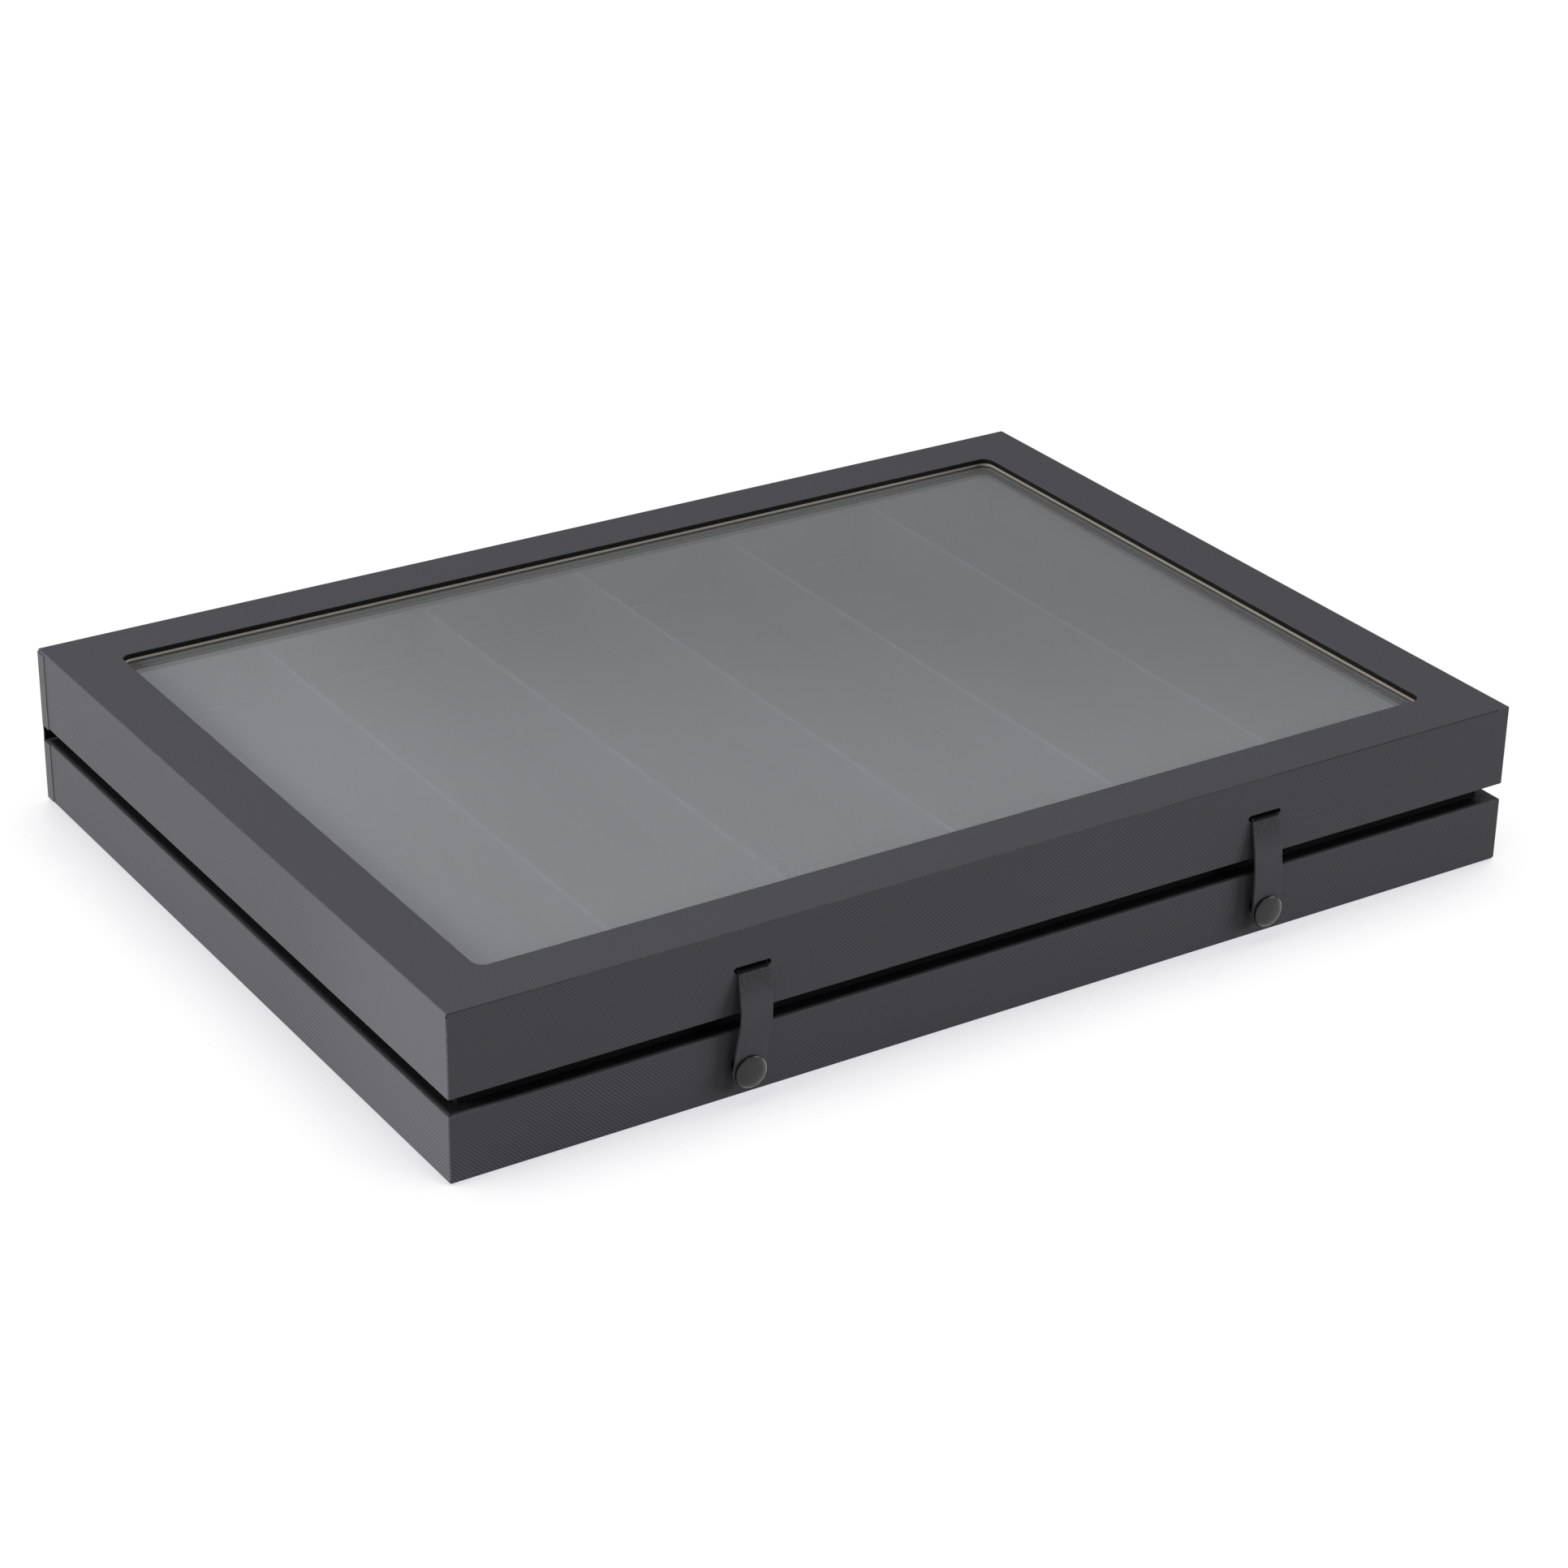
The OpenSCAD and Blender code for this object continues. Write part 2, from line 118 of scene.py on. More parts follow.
def block(name, low, high):
    """A block between two corners, in metres."""
    low, high = Vector(low), Vector(high)
    bpy.ops.object.select_all(action="DESELECT")
    bpy.ops.mesh.primitive_cube_add(size=1, location=(low + high) / 2, scale=high - low)
    return settle(name_piece(bpy.context.object, name))


def open_up(piece):
    take(piece)
    bpy.ops.object.mode_set(mode="EDIT")
    bpy.ops.mesh.select_mode(type="FACE")
    bpy.ops.mesh.select_all(action="DESELECT")


def close_up():
    bpy.ops.object.mode_set(mode="OBJECT")


def pick(kind, test):
    """Picks the faces or the edges of the open piece that pass the test."""
    bpy.ops.mesh.select_mode(type=kind)
    bpy.ops.mesh.select_all(action="DESELECT")
    mesh = bmesh.from_edit_mesh(bpy.context.object.data)
    mesh.normal_update()
    for part in mesh.faces if kind == "FACE" else mesh.edges:
        if test(part):
            part.select_set(True)
    bmesh.update_edit_mesh(bpy.context.object.data)


def mark_faces(test):
    pick("FACE", test)


def mark_edges(test):
    pick("EDGE", test)


def near(a, b):
    return abs(a - b) < 1e-6


def edge_at(edge, axis, value):
    """The whole edge lies at this value of one axis."""
    return all(near(vert.co[axis], value) for vert in edge.verts)


def sharp(edge, least=60):
    return len(edge.link_faces) == 2 and edge.calc_face_angle() > math.radians(least)


def slice_at(axis, value):
    """Cuts the faces of the open piece along a plane square to one axis."""
    point, way = [0, 0, 0], [0, 0, 0]
    point[axis], way[axis] = value, 1
    bpy.ops.mesh.select_all(action="SELECT")
    bpy.ops.mesh.bisect(plane_co=point, plane_no=way)


def shift(x=0, y=0, z=0):
    bpy.ops.transform.translate(value=(x, y, z))


def pull(x=0, y=0, z=0):
    bpy.ops.mesh.extrude_region_move(TRANSFORM_OT_translate={"value": (x, y, z)})


def round_edges(radius, segments):
    bpy.ops.mesh.bevel(offset=radius, segments=segments, affect="EDGES")


def finish_with(piece, kind, **settings):
    """A modifier, made part of the piece's mesh."""
    take(piece)
    step = piece.modifiers.new(kind.lower(), kind)
    for key, value in settings.items():
        setattr(step, key, value)
    bpy.ops.object.modifier_apply(modifier=step.name)
    return piece


def cut_out(piece, tool):
    """Cuts the tool's shape out of the piece and throws the tool away."""
    finish_with(piece, "BOOLEAN", operation="DIFFERENCE", solver="EXACT", object=tool)
    bpy.data.objects.remove(tool)


def dress(piece, angle=40):
    """Smooth over the folds and flat on the faces."""
    take(piece)
    bpy.ops.object.shade_smooth_by_angle(angle=math.radians(angle))
    return finish_with(piece, "WEIGHTED_NORMAL", keep_sharp=True)


def hand_over(piece, body, slot, finish, *nodes):
    """Gives the piece its finish and its body, and hides the nodes that it stands for.

    A piece that bends across a joint rides on no one body.
    """
    piece.data.materials.clear()
    piece.data.materials.append(finish)
    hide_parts(*nodes)
    if body:
        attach(piece, body)


def softened(name, low, high, radius, segments=2):
    """A board with its edges rounded off."""
    board = block(name, low, high)
    finish_with(board, "BEVEL", width=radius, segments=segments, limit_method="ANGLE")
    return dress(board)


def unfold(piece, top):
    """Lays the cloth's weave over the piece as one sheet folded down from the top."""
    sheet = piece.data.uv_layers.active or piece.data.uv_layers.new(name="UVMap")
    for face in piece.data.polygons:
        x, y, z = (abs(part) for part in face.normal)
        for corner in face.loop_indices:
            place = piece.data.vertices[piece.data.loops[corner].vertex_index].co
            drop = top - place.z
            u, v = place.x, place.y
            if x >= max(y, z):
                u += math.copysign(drop, place.x)
            elif y >= z:
                v += math.copysign(drop, place.y)
            sheet.data[corner].uv = (u, v)


def turn_up(name, x, z, profile, segments=64):
    """A turned piece on a line towards the front: profile gives (distance, radius) pairs."""
    start, radius = profile[0]
    bpy.ops.object.select_all(action="DESELECT")
    bpy.ops.mesh.primitive_circle_add(vertices=segments, radius=radius * MM, fill_type="NGON",
                                      location=(x, FRONT - start * MM, z),
                                      rotation=(math.pi / 2, 0, 0))
    piece = settle(name_piece(bpy.context.object, name))
    open_up(piece)
    bpy.ops.mesh.select_all(action="SELECT")
    for (out, wide), (further, wider) in zip(profile, profile[1:]):
        pull(y=-(further - out) * MM)
        if wider != wide:
            centre = (x, FRONT - further * MM, z)
            bpy.ops.transform.resize(value=(wider / wide, 1, wider / wide),
                                     center_override=centre)
    bpy.ops.mesh.select_all(action="SELECT")
    bpy.ops.mesh.normals_make_consistent(inside=False)
    close_up()
    return piece


# Paint and cloth: small helpers for the finishes

def add(tree, kind, props=None, **sockets):
    """A node; each socket, by name or as i and its number, is given a value or what feeds it."""
    node = tree.nodes.new("ShaderNode" + kind)
    for key, value in (props or {}).items():
        setattr(node, key, value)
    for key, value in sockets.items():
        socket = node.inputs[int(key[1:]) if key[1:].isdigit() else key.replace("_", " ")]
        if isinstance(value, bpy.types.NodeSocket):
            tree.links.new(value, socket)
        else:
            socket.default_value = value
    return node


def maths(tree, operation, a, b=0.0, c=0.0):
    return add(tree, "Math", {"operation": operation}, i0=a, i1=b, i2=c).outputs[0]


def toned(colour, times):
    """The colour made deeper or paler."""
    return tuple(part * times for part in colour)


def distance(tree, here, point):
    return add(tree, "VectorMath", {"operation": "DISTANCE"}, i0=here, i1=point).outputs["Value"]


def thread_grid(tree, across, along, pitch):
    """Crossed threads, from -1 to 1, at this many millimetres."""
    pace = 2 * math.pi / (pitch * MM)
    return maths(tree, "MULTIPLY", maths(tree, "SINE", maths(tree, "MULTIPLY", across, pace)),
                 maths(tree, "SINE", maths(tree, "MULTIPLY", along, pace)))


def speckle(tree, place, scale, detail=2.0, rough=0.5):
    """Even noise from 0 to 1."""
    return add(tree, "TexNoise", Vector=place, Scale=scale, Detail=detail,
               Roughness=rough).outputs[0]


def ramp(tree, value, low, high, to_low=0.0, to_high=1.0):
    """A soft step between two values."""
    return add(tree, "MapRange", {"interpolation_type": "SMOOTHSTEP"}, Value=value,
               i1=low, i2=high, i3=to_low, i4=to_high).outputs[0]


def both(tree, first, *others):
    """The share where every one of these holds."""
    for other in others:
        first = maths(tree, "MULTIPLY", first, other)
    return first


def blend_colour(tree, share, a, b):
    node = tree.nodes.new("ShaderNodeMix")
    node.data_type = "RGBA"
    for index, value in ((0, share), (6, a), (7, b)):
        if isinstance(value, bpy.types.NodeSocket):
            tree.links.new(value, node.inputs[index])
        else:
            node.inputs[index].default_value = value if index == 0 else (*value, 1)
    return node.outputs[2]


def layer(tree, tone, colour, *shares):
    """Lays a colour over the tone where every one of the shares holds."""
    return blend_colour(tree, both(tree, *shares), tone, colour)


def new_finish(name):
    finish = bpy.data.materials.new(name)
    finish.use_nodes = True
    finish.node_tree.nodes.clear()
    return finish, finish.node_tree


def start_finish(name):
    """A new finish, its nodes, and the place of each point on the piece."""
    finish, tree = new_finish(name)
    return finish, tree, add(tree, "TexCoord").outputs["Object"]


def surface(tree, **sockets):
    """The last two nodes of a finish."""
    skin = add(tree, "BsdfPrincipled", **sockets)
    add(tree, "OutputMaterial", Surface=skin.outputs[0])


def relief(tree, height, depth):
    """Turns a height from 0 to 1 into a surface relief of that depth, in metres."""
    return add(tree, "Bump", Height=height, Strength=1.0, Distance=depth).outputs[0]


def split(tree, vector):
    return add(tree, "SeparateXYZ", Vector=vector).outputs


# Finishes

def book_cloth(name, low, high, colour, *marks):
    """Embossed book cloth over a box: a fine diagonal weave, worn a little at its folds."""
    finish, tree = new_finish(name)
    coords = add(tree, "TexCoord").outputs
    here = coords["Object"]
    u, v, _ = split(tree, coords["UV"])
    sway = maths(tree, "MULTIPLY", speckle(tree, here, 120, 3), 5.0)
    across = maths(tree, "MULTIPLY_ADD", u, math.pi / (WEAVE * MM), sway)
    along = maths(tree, "MULTIPLY", v, math.pi / (WEAVE * MM))
    rise = maths(tree, "COSINE", maths(tree, "ADD", across, along))
    fall = maths(tree, "COSINE", maths(tree, "SUBTRACT", across, along))
    weave = maths(tree, "MULTIPLY_ADD", rise, 0.34, maths(tree, "MULTIPLY_ADD", fall, -0.16, 0.5))
    grain = speckle(tree, here, 5200, 3)
    patches = speckle(tree, here, 22, 3)
    uneven = ramp(tree, speckle(tree, here, 20, 4), 0.4, 0.6, 0.12, 1.0)

    # Ribs and their painted light and shade: strongest at the front left corner, faint on the top
    x, y, z = split(tree, here)
    from_corner = distance(tree, here, (low.x, low.y, (low.z + high.z) / 2))
    fainter = ramp(tree, z, high.z - 0.3 * MM, high.z - 0.02 * MM, 1.0, 0.65)
    uneven = both(tree, uneven, ramp(tree, from_corner, 0.07, 0.2, 1.0, 0.7), fainter)

    # How near this place is to an edge of the box: the second smallest distance to its sides
    to_x = maths(tree, "SUBTRACT", high.x, maths(tree, "ABSOLUTE", x))
    to_y = maths(tree, "SUBTRACT", high.y, maths(tree, "ABSOLUTE", y))
    to_z = maths(tree, "MINIMUM", maths(tree, "SUBTRACT", high.z, z),
                 maths(tree, "SUBTRACT", z, low.z))
    least = maths(tree, "MINIMUM", to_x, to_y)
    most = maths(tree, "MAXIMUM", to_x, to_y)
    edge = maths(tree, "MAXIMUM", least, maths(tree, "MINIMUM", most, to_z))
    at_edge = ramp(tree, edge, 0.05 * MM, 0.5 * MM, 1.0, 0.0)
    wear_and_highlight_patches = ramp(tree, speckle(tree, here, 420, 4, 0.6), 0.54, 0.68)
    wear = both(tree, at_edge, wear_and_highlight_patches)

    dark, light = toned(colour, 0.9), toned(colour, 1.1)
    # Painted light and shade of the relief: the ribs' valleys are painted darker and their crests
    # paler
    valley = blend_colour(tree, patches, toned(dark, 0.58), toned(light, 0.58))
    crest = blend_colour(tree, patches, toned(dark, 1.42), toned(light, 1.42))
    ribs = maths(tree, "SUBTRACT", weave, 0.5)
    tone = blend_colour(tree, maths(tree, "MULTIPLY_ADD", ribs, uneven, 0.5), valley, crest)
    tone = layer(tree, tone, light, grain, 0.2)
    tone = blend_colour(tree, maths(tree, "MULTIPLY", wear, 0.35), tone,
                        tuple(part * 2.0 + 0.01 for part in colour))
    for mark in marks:
        tone = mark(tree, here, tone)
    height = maths(tree, "MULTIPLY_ADD", weave, uneven, maths(tree, "MULTIPLY", grain, 0.22))
    rough = ramp(tree, patches, 0.2, 0.8, 0.5, 0.62)
    surface(tree, Base_Color=tone, Roughness=rough, Specular_IOR_Level=0.09,
            Normal=relief(tree, height, 0.05 * MM))
    return finish


# The colour of the shade painted into the cloth's folds
PAINTED_FOLD_SHADE = (0.012, 0.012, 0.014)


def front_fold_painted_shade(tree, here, tone):
    """Painted shade along the fold at the front of the lid: a fine dark line, firm at both ends.
    """
    x, y, z = split(tree, here)
    forward = ramp(tree, y, lid_low.y + 0.05 * MM, lid_low.y + 0.35 * MM, 1.0, 0.0)
    up = ramp(tree, z, lid_high.z - 0.5 * MM, lid_high.z - 0.2 * MM)
    firm = ramp(tree, speckle(tree, here, 110, 3), 0.3, 0.48, 0.35, 1.0)
    left_end = ramp(tree, x, lid_low.x, lid_low.x + 70 * MM, 0.7, 0.3)
    right_end = ramp(tree, x, 0.0, lid_high.x - 30 * MM, 0.0, 0.6)
    short = ramp(tree, x, lid_high.x - 5 * MM, lid_high.x - 3.5 * MM, 1.0, 0.0)
    line = both(tree, forward, up, firm, short, maths(tree, "ADD", left_end, right_end))
    return blend_colour(tree, line, tone, PAINTED_FOLD_SHADE)


def window_lining(tree, here, tone):
    """The window's edge is lined in black."""
    x, y, z = split(tree, here)
    out_x = maths(tree, "SUBTRACT", maths(tree, "ABSOLUTE", x), lid_high.x - WINDOW_SIDE * MM)
    out_y = maths(tree, "SUBTRACT", maths(tree, "ABSOLUTE", y), lid_high.y - WINDOW_END * MM)
    within = ramp(tree, maths(tree, "MAXIMUM", out_x, out_y), 0.15 * MM, 0.4 * MM, 1.0, 0.0)
    below = ramp(tree, z, lid_high.z - 0.3 * MM, lid_high.z - 0.04 * MM, 1.0, 0.0)
    return layer(tree, tone, (0.0025, 0.0023, 0.0023), within, below)


def corner_tuck_and_fold_shade(tree, here, tone):
    """Painted shade at the front corners: a tuck's dark dot in a pale ring and a dotted line at
    the left, a dark fold at the right.
    """
    x, y, z = split(tree, here)
    # The tuck at the top of the front left corner: a dark dot of painted shade in a pale ring
    tuck_dot = distance(tree, here, (lid_low.x + 0.1 * MM, lid_low.y + 0.1 * MM,
                                 lid_high.z - 0.95 * MM))
    halo = both(tree, ramp(tree, tuck_dot, 0.4 * MM, 0.7 * MM, 0.4, 0.0),
                ramp(tree, x, lid_low.x + 0.02 * MM, lid_low.x + 0.12 * MM, 1.0, 0.0))
    tone = blend_colour(tree, halo, tone, (0.12, 0.12, 0.13))
    tone = blend_colour(tree, ramp(tree, tuck_dot, 0.25 * MM, 0.42 * MM, 1.0, 0.0), tone,
                        (0.004, 0.004, 0.005))
    # A dotted line of painted shade down the front left corner, and painted shade in the fold at
    # the front right
    in_front = ramp(tree, y, lid_low.y + 0.15 * MM, lid_low.y + 0.4 * MM, 1.0, 0.0)
    at_left = ramp(tree, x, lid_low.x + 0.1 * MM, lid_low.x + 0.4 * MM, 1.0, 0.0)
    dots = ramp(tree, speckle(tree, here, 700, 2), 0.45, 0.55)
    upper = ramp(tree, z, lid_high.z - 19 * MM, lid_high.z - 8 * MM)
    tone = layer(tree, tone, PAINTED_FOLD_SHADE, in_front, at_left, dots, upper, 0.6)
    at_right = ramp(tree, x, lid_high.x - 0.9 * MM, lid_high.x - 0.5 * MM)
    top_end = ramp(tree, z, lid_high.z - 3.6 * MM, lid_high.z - 2.4 * MM)
    return layer(tree, tone, PAINTED_FOLD_SHADE, in_front, at_right, top_end)


def painted_light_left_front(tree, here, tone):
    """Painted light: the left side is painted a little paler towards the front, where more light
    falls on it.
    """
    x, y, z = split(tree, here)
    side = ramp(tree, x, lid_low.x + 0.2 * MM, lid_low.x + 0.6 * MM, 1.0, 0.0)
    on_lid = ramp(tree, z, base_high.z, lid_low.z, 0.2, 0.3)
    forward = ramp(tree, y, -25 * MM, -108 * MM)
    return layer(tree, tone, (0.13, 0.129, 0.138), side, on_lid, forward)


def painted_ledge_shade(tree, here, tone):
    """Painted shade: the ledge round the neck, under the lid's overhang, is painted nearly black,
    less so at the far right, with a grey mitre at the front right.
    """
    x, y, z = split(tree, here)
    to_x = maths(tree, "SUBTRACT", base_high.x, maths(tree, "ABSOLUTE", x))
    to_y = maths(tree, "SUBTRACT", base_high.y, maths(tree, "ABSOLUTE", y))
    inward = ramp(tree, maths(tree, "MINIMUM", to_x, to_y), 0.1 * MM, 2.1 * MM)
    on_top = ramp(tree, z, base_high.z - 0.5 * MM, base_high.z - 0.2 * MM)
    specks = maths(tree, "MULTIPLY", ramp(tree, speckle(tree, here, 2600, 1), 0.5, 0.66),
                   ramp(tree, x, base_low.x + LEDGE * MM, base_low.x + 9 * MM, 0.24, 0.05))
    specks = maths(tree, "SUBTRACT", 1.0, specks)
    # Less painted shade at the far right end, where light reaches the ledge
    far_right = ramp(tree, x, base_high.x - 9 * MM, base_high.x - 4 * MM, 1.0, 0.35)
    tone = layer(tree, tone, (0.003, 0.003, 0.0032), inward, on_top, specks, far_right)
    off_mitre = maths(tree, "ABSOLUTE", maths(tree, "SUBTRACT", to_x, to_y))
    mitre = both(tree, ramp(tree, off_mitre, 0.12 * MM, 0.35 * MM, 1.0, 0.0),
                 ramp(tree, z, base_high.z - 0.12 * MM, base_high.z - 0.03 * MM),
                 ramp(tree, speckle(tree, here, 600, 2), 0.38, 0.5))
    return layer(tree, tone, (0.008, 0.008, 0.008), mitre, 0.8)


def plain_cloth(name, colour, thread, depth, shine=0.15, cut_edge=None, lined=None):
    """A dark lining or strip with a fine thread.

    Its cut edge, a y, is paler, and its cut face is painted paler still as painted light; lined,
    an (x, y), paints shade that makes the side in front of y nearly black but for its ends at x.
    """
    finish, tree, here = start_finish(name)
    x, y, z = split(tree, here)
    threads = thread_grid(tree, maths(tree, "ADD", x, y), z, thread)
    grain = speckle(tree, here, 3500, 3)
    patches = speckle(tree, here, 35, 3)
    tone = blend_colour(tree, patches, toned(colour, 0.8), toned(colour, 1.2))
    tone = layer(tree, tone, toned(colour, 1.5), grain, 0.3)
    if cut_edge is not None:
        near_cut = ramp(tree, y, cut_edge, cut_edge + 0.5 * MM, 1.0, 0.0)
        frayed = both(tree, near_cut, ramp(tree, speckle(tree, here, 900, 3), 0.3, 0.6), 0.6)
        tone = blend_colour(tree, frayed, tone, toned(colour, 1.4))
        # Painted light: the cut face itself is painted much paler, against the shade it stands in
        painted_light_on_cut = ramp(tree, y, cut_edge + 0.01 * MM, cut_edge + 0.06 * MM, 1.0, 0.0)
        tone = blend_colour(tree, painted_light_on_cut, tone, toned(colour, 2.4))
    if lined is not None:
        end, inner = lined
        # Painted shade of the gap: the front of the fold is nearly black except near its ends
        dark = both(tree, ramp(tree, y, inner, inner + 0.03 * MM, 1.0, 0.0),
                    ramp(tree, maths(tree, "ABSOLUTE", x), end - 0.35 * MM, end - 0.15 * MM,
                         1.0, 0.0))
        tone = blend_colour(tree, dark, tone, (0.004, 0.004, 0.004))
    height = maths(tree, "MULTIPLY_ADD", threads, 0.25, grain)
    surface(tree, Base_Color=tone, Roughness=0.7, Specular_IOR_Level=shine,
            Normal=relief(tree, height, depth * MM))
    return finish


def tray_paper(name):
    """Dark lining paper, with a painted highlight on top of the partitions and a pale seam at the
    floor's rear.
    """
    finish, tree, here = start_finish(name)
    _, y, z = split(tree, here)
    fibres = speckle(tree, here, 1800, 4, 0.6)
    patches = speckle(tree, here, 18, 3)
    tone = blend_colour(tree, patches, (0.0045, 0.0045, 0.0055), (0.0065, 0.0065, 0.0075))
    tone = layer(tree, tone, (0.010, 0.0105, 0.012), fibres, 0.35)
    # Painted highlight along the partitions' top folds, broken up in patches
    fold = ramp(tree, z, (PARTITION_TOP - 0.45) * MM, (PARTITION_TOP - 0.1) * MM)
    wear_and_highlight_patches = ramp(tree, speckle(tree, here, 160, 3), 0.3, 0.6, 0.45, 1.0)
    tone = layer(tree, tone, (0.034, 0.035, 0.0375), fold, wear_and_highlight_patches)
    low_down = ramp(tree, z, (TRAY_FLOOR + 0.1) * MM, (TRAY_FLOOR + 0.5) * MM, 1.0, 0.0)
    at_back = ramp(tree, y, (TRAY_REAR - 0.6) * MM, (TRAY_REAR - 0.1) * MM)
    seam = both(tree, low_down, at_back, wear_and_highlight_patches, 0.9)
    tone = blend_colour(tree, seam, tone, (0.11, 0.111, 0.118))
    surface(tree, Base_Color=tone, Roughness=0.85, Specular_IOR_Level=0.1,
            Normal=relief(tree, fibres, 0.03 * MM))
    return finish


def card(name, colour, deeper, fleck, layers=0.0):
    """Board or paper: fibres, flecks, and layers this many millimetres thick at its cut edges."""
    finish, tree, here = start_finish(name)
    _, _, z = split(tree, here)
    fibres = speckle(tree, here, 1500, 4, 0.65)
    patches = speckle(tree, here, 30, 3)
    flecks = ramp(tree, speckle(tree, here, 900, 2), 0.62, 0.72)
    tone = blend_colour(tree, patches, colour, deeper)
    tone = blend_colour(tree, maths(tree, "MULTIPLY", flecks, 0.5), tone, fleck)
    height = fibres
    if layers:
        wobble = maths(tree, "MULTIPLY_ADD", fibres, 0.15 * MM, z)
        bands = maths(tree, "SINE", maths(tree, "MULTIPLY", wobble, 2 * math.pi / (layers * MM)))
        tone = blend_colour(tree, maths(tree, "MULTIPLY_ADD", bands, 0.2, 0.2), tone, fleck)
        height = maths(tree, "MULTIPLY_ADD", bands, 0.3, fibres)
    surface(tree, Base_Color=tone, Roughness=0.8, Specular_IOR_Level=0.3,
            Normal=relief(tree, height, 0.03 * MM))
    return finish


def window_card(name):
    """The card over the pane: cream, with painted shade on its lower part and on its right side,
    and stained at its right end.
    """
    finish, tree, here = start_finish(name)
    x, y, z = split(tree, here)
    fibres = speckle(tree, here, 1500, 4, 0.65)
    flecks = ramp(tree, speckle(tree, here, 900, 2), 0.62, 0.72)
    patches = speckle(tree, here, 30, 3)
    tone = blend_colour(tree, patches, (0.29, 0.265, 0.225), (0.35, 0.325, 0.28))
    tone = layer(tree, tone, (0.2, 0.145, 0.09), flecks, 0.4)
    at_right = ramp(tree, x, 0.12, 0.15)
    # Painted shade: the card's right side is painted darker
    tone = layer(tree, tone, (0.15, 0.13, 0.105), at_right, 0.5)
    stain = both(tree, at_right, ramp(tree, y, -0.09, -0.105),
                 ramp(tree, z, CARD_TOP - 0.25 * MM, CARD_TOP))
    tone = blend_colour(tree, stain, tone, (0.16, 0.07, 0.03))
    # Painted shade: the lower part of the card, against the pane, is painted dark
    height = maths(tree, "MULTIPLY_ADD", fibres, 0.16 * MM, z)
    under = ramp(tree, height, CARD_TOP - 0.78 * MM, CARD_TOP - 0.64 * MM, 1.0, 0.0)
    tone = blend_colour(tree, under, tone, (0.04, 0.038, 0.035))
    surface(tree, Base_Color=tone, Roughness=0.8, Specular_IOR_Level=0.2,
            Normal=relief(tree, fibres, 0.03 * MM))
    return finish


def pane_glass(name):
    """Glass with a faint haze and smears; lamps and bounced light reach what is behind it."""
    finish, tree, here = start_finish(name)
    smears = speckle(tree, here, 14, 4, 0.6)
    tint = blend_colour(tree, smears, (0.95, 0.965, 0.97), (0.98, 0.99, 0.99))
    glass = add(tree, "BsdfPrincipled", Base_Color=tint, Roughness=0.0, IOR=1.52,
                Transmission_Weight=0.93)
    clear = add(tree, "BsdfTransparent", Color=(0.93, 0.95, 0.955, 1))
    path = add(tree, "LightPath").outputs
    let_through = maths(tree, "MAXIMUM", path["Is Shadow Ray"], path["Is Diffuse Ray"])
    mix = add(tree, "MixShader", i0=let_through, i1=glass.outputs[0], i2=clear.outputs[0])
    add(tree, "OutputMaterial", Surface=mix.outputs[0])
    return finish


def strap_skin(name):
    """Leatherette: its woven back shows below the slot, then a fine grain with pale cut edges;
    painted shade makes it nearly black at the slot's mouth.
    """
    finish, tree = new_finish(name)
    coords = add(tree, "TexCoord").outputs
    here = coords["Object"]
    u, v, _ = split(tree, coords["UV"])
    pebbles = add(tree, "TexVoronoi", Vector=here, Scale=2600.0).outputs["Distance"]
    grain = speckle(tree, here, 3200, 3)
    patches = speckle(tree, here, 90, 3)
    tone = blend_colour(tree, patches, (0.043, 0.0425, 0.0478), (0.054, 0.0534, 0.060))
    worn = blend_colour(tree, patches, (0.0585, 0.058, 0.065), (0.073, 0.0724, 0.081))
    tone = blend_colour(tree, ramp(tree, v, 3 * MM, 11 * MM), tone, worn)

    # The woven stretch: u counts from the strap's middle and v down from the slot
    threads = thread_grid(tree, u, v, 0.9)
    side = maths(tree, "ABSOLUTE", u)
    longer = ramp(tree, side, 2 * MM, 4.6 * MM, 0.0, -3 * MM)
    reach = maths(tree, "MULTIPLY_ADD", patches, 5 * MM, maths(tree, "ADD", v, longer))
    woven = ramp(tree, reach, 5.0 * MM, 7.0 * MM, 1.0, 0.0)
    sparks = ramp(tree, maths(tree, "MULTIPLY_ADD", threads, 0.3,
                              speckle(tree, here, 1500, 2, 0.6)), 0.5, 0.8)
    tone = layer(tree, tone, (0.028, 0.028, 0.03), woven, 0.45)
    tone = layer(tree, tone, (0.1, 0.1, 0.103), sparks, woven, 0.6)
    # Painted shade: nearly black right at the slot's mouth
    mouth = ramp(tree, v, 0.4 * MM, 0.8 * MM, 1.0, 0.0)
    tone = blend_colour(tree, mouth, tone, (0.002, 0.002, 0.0022))

    half = STRAP_W / 2
    cut = both(tree, ramp(tree, side, (half - 0.32) * MM, (half - 0.18) * MM),
               ramp(tree, side, (half - 0.1) * MM, (half - 0.02) * MM, 1.0, 0.25),
               ramp(tree, speckle(tree, here, 500, 3), 0.35, 0.62, 0.2, 1.0), 0.5)
    tone = blend_colour(tree, cut, tone, (0.105, 0.105, 0.11))
    smooth = maths(tree, "MULTIPLY_ADD", pebbles, 0.35, maths(tree, "MULTIPLY", grain, 0.3))
    rough_back = maths(tree, "MULTIPLY_ADD", threads, 0.5, sparks)
    height = maths(tree, "MULTIPLY_ADD", maths(tree, "MULTIPLY", rough_back, woven), 0.4, smooth)
    surface(tree, Base_Color=tone, Roughness=ramp(tree, grain, 0.3, 0.7, 0.52, 0.64),
            Specular_IOR_Level=0.08, Normal=relief(tree, height, 0.05 * MM))
    return finish


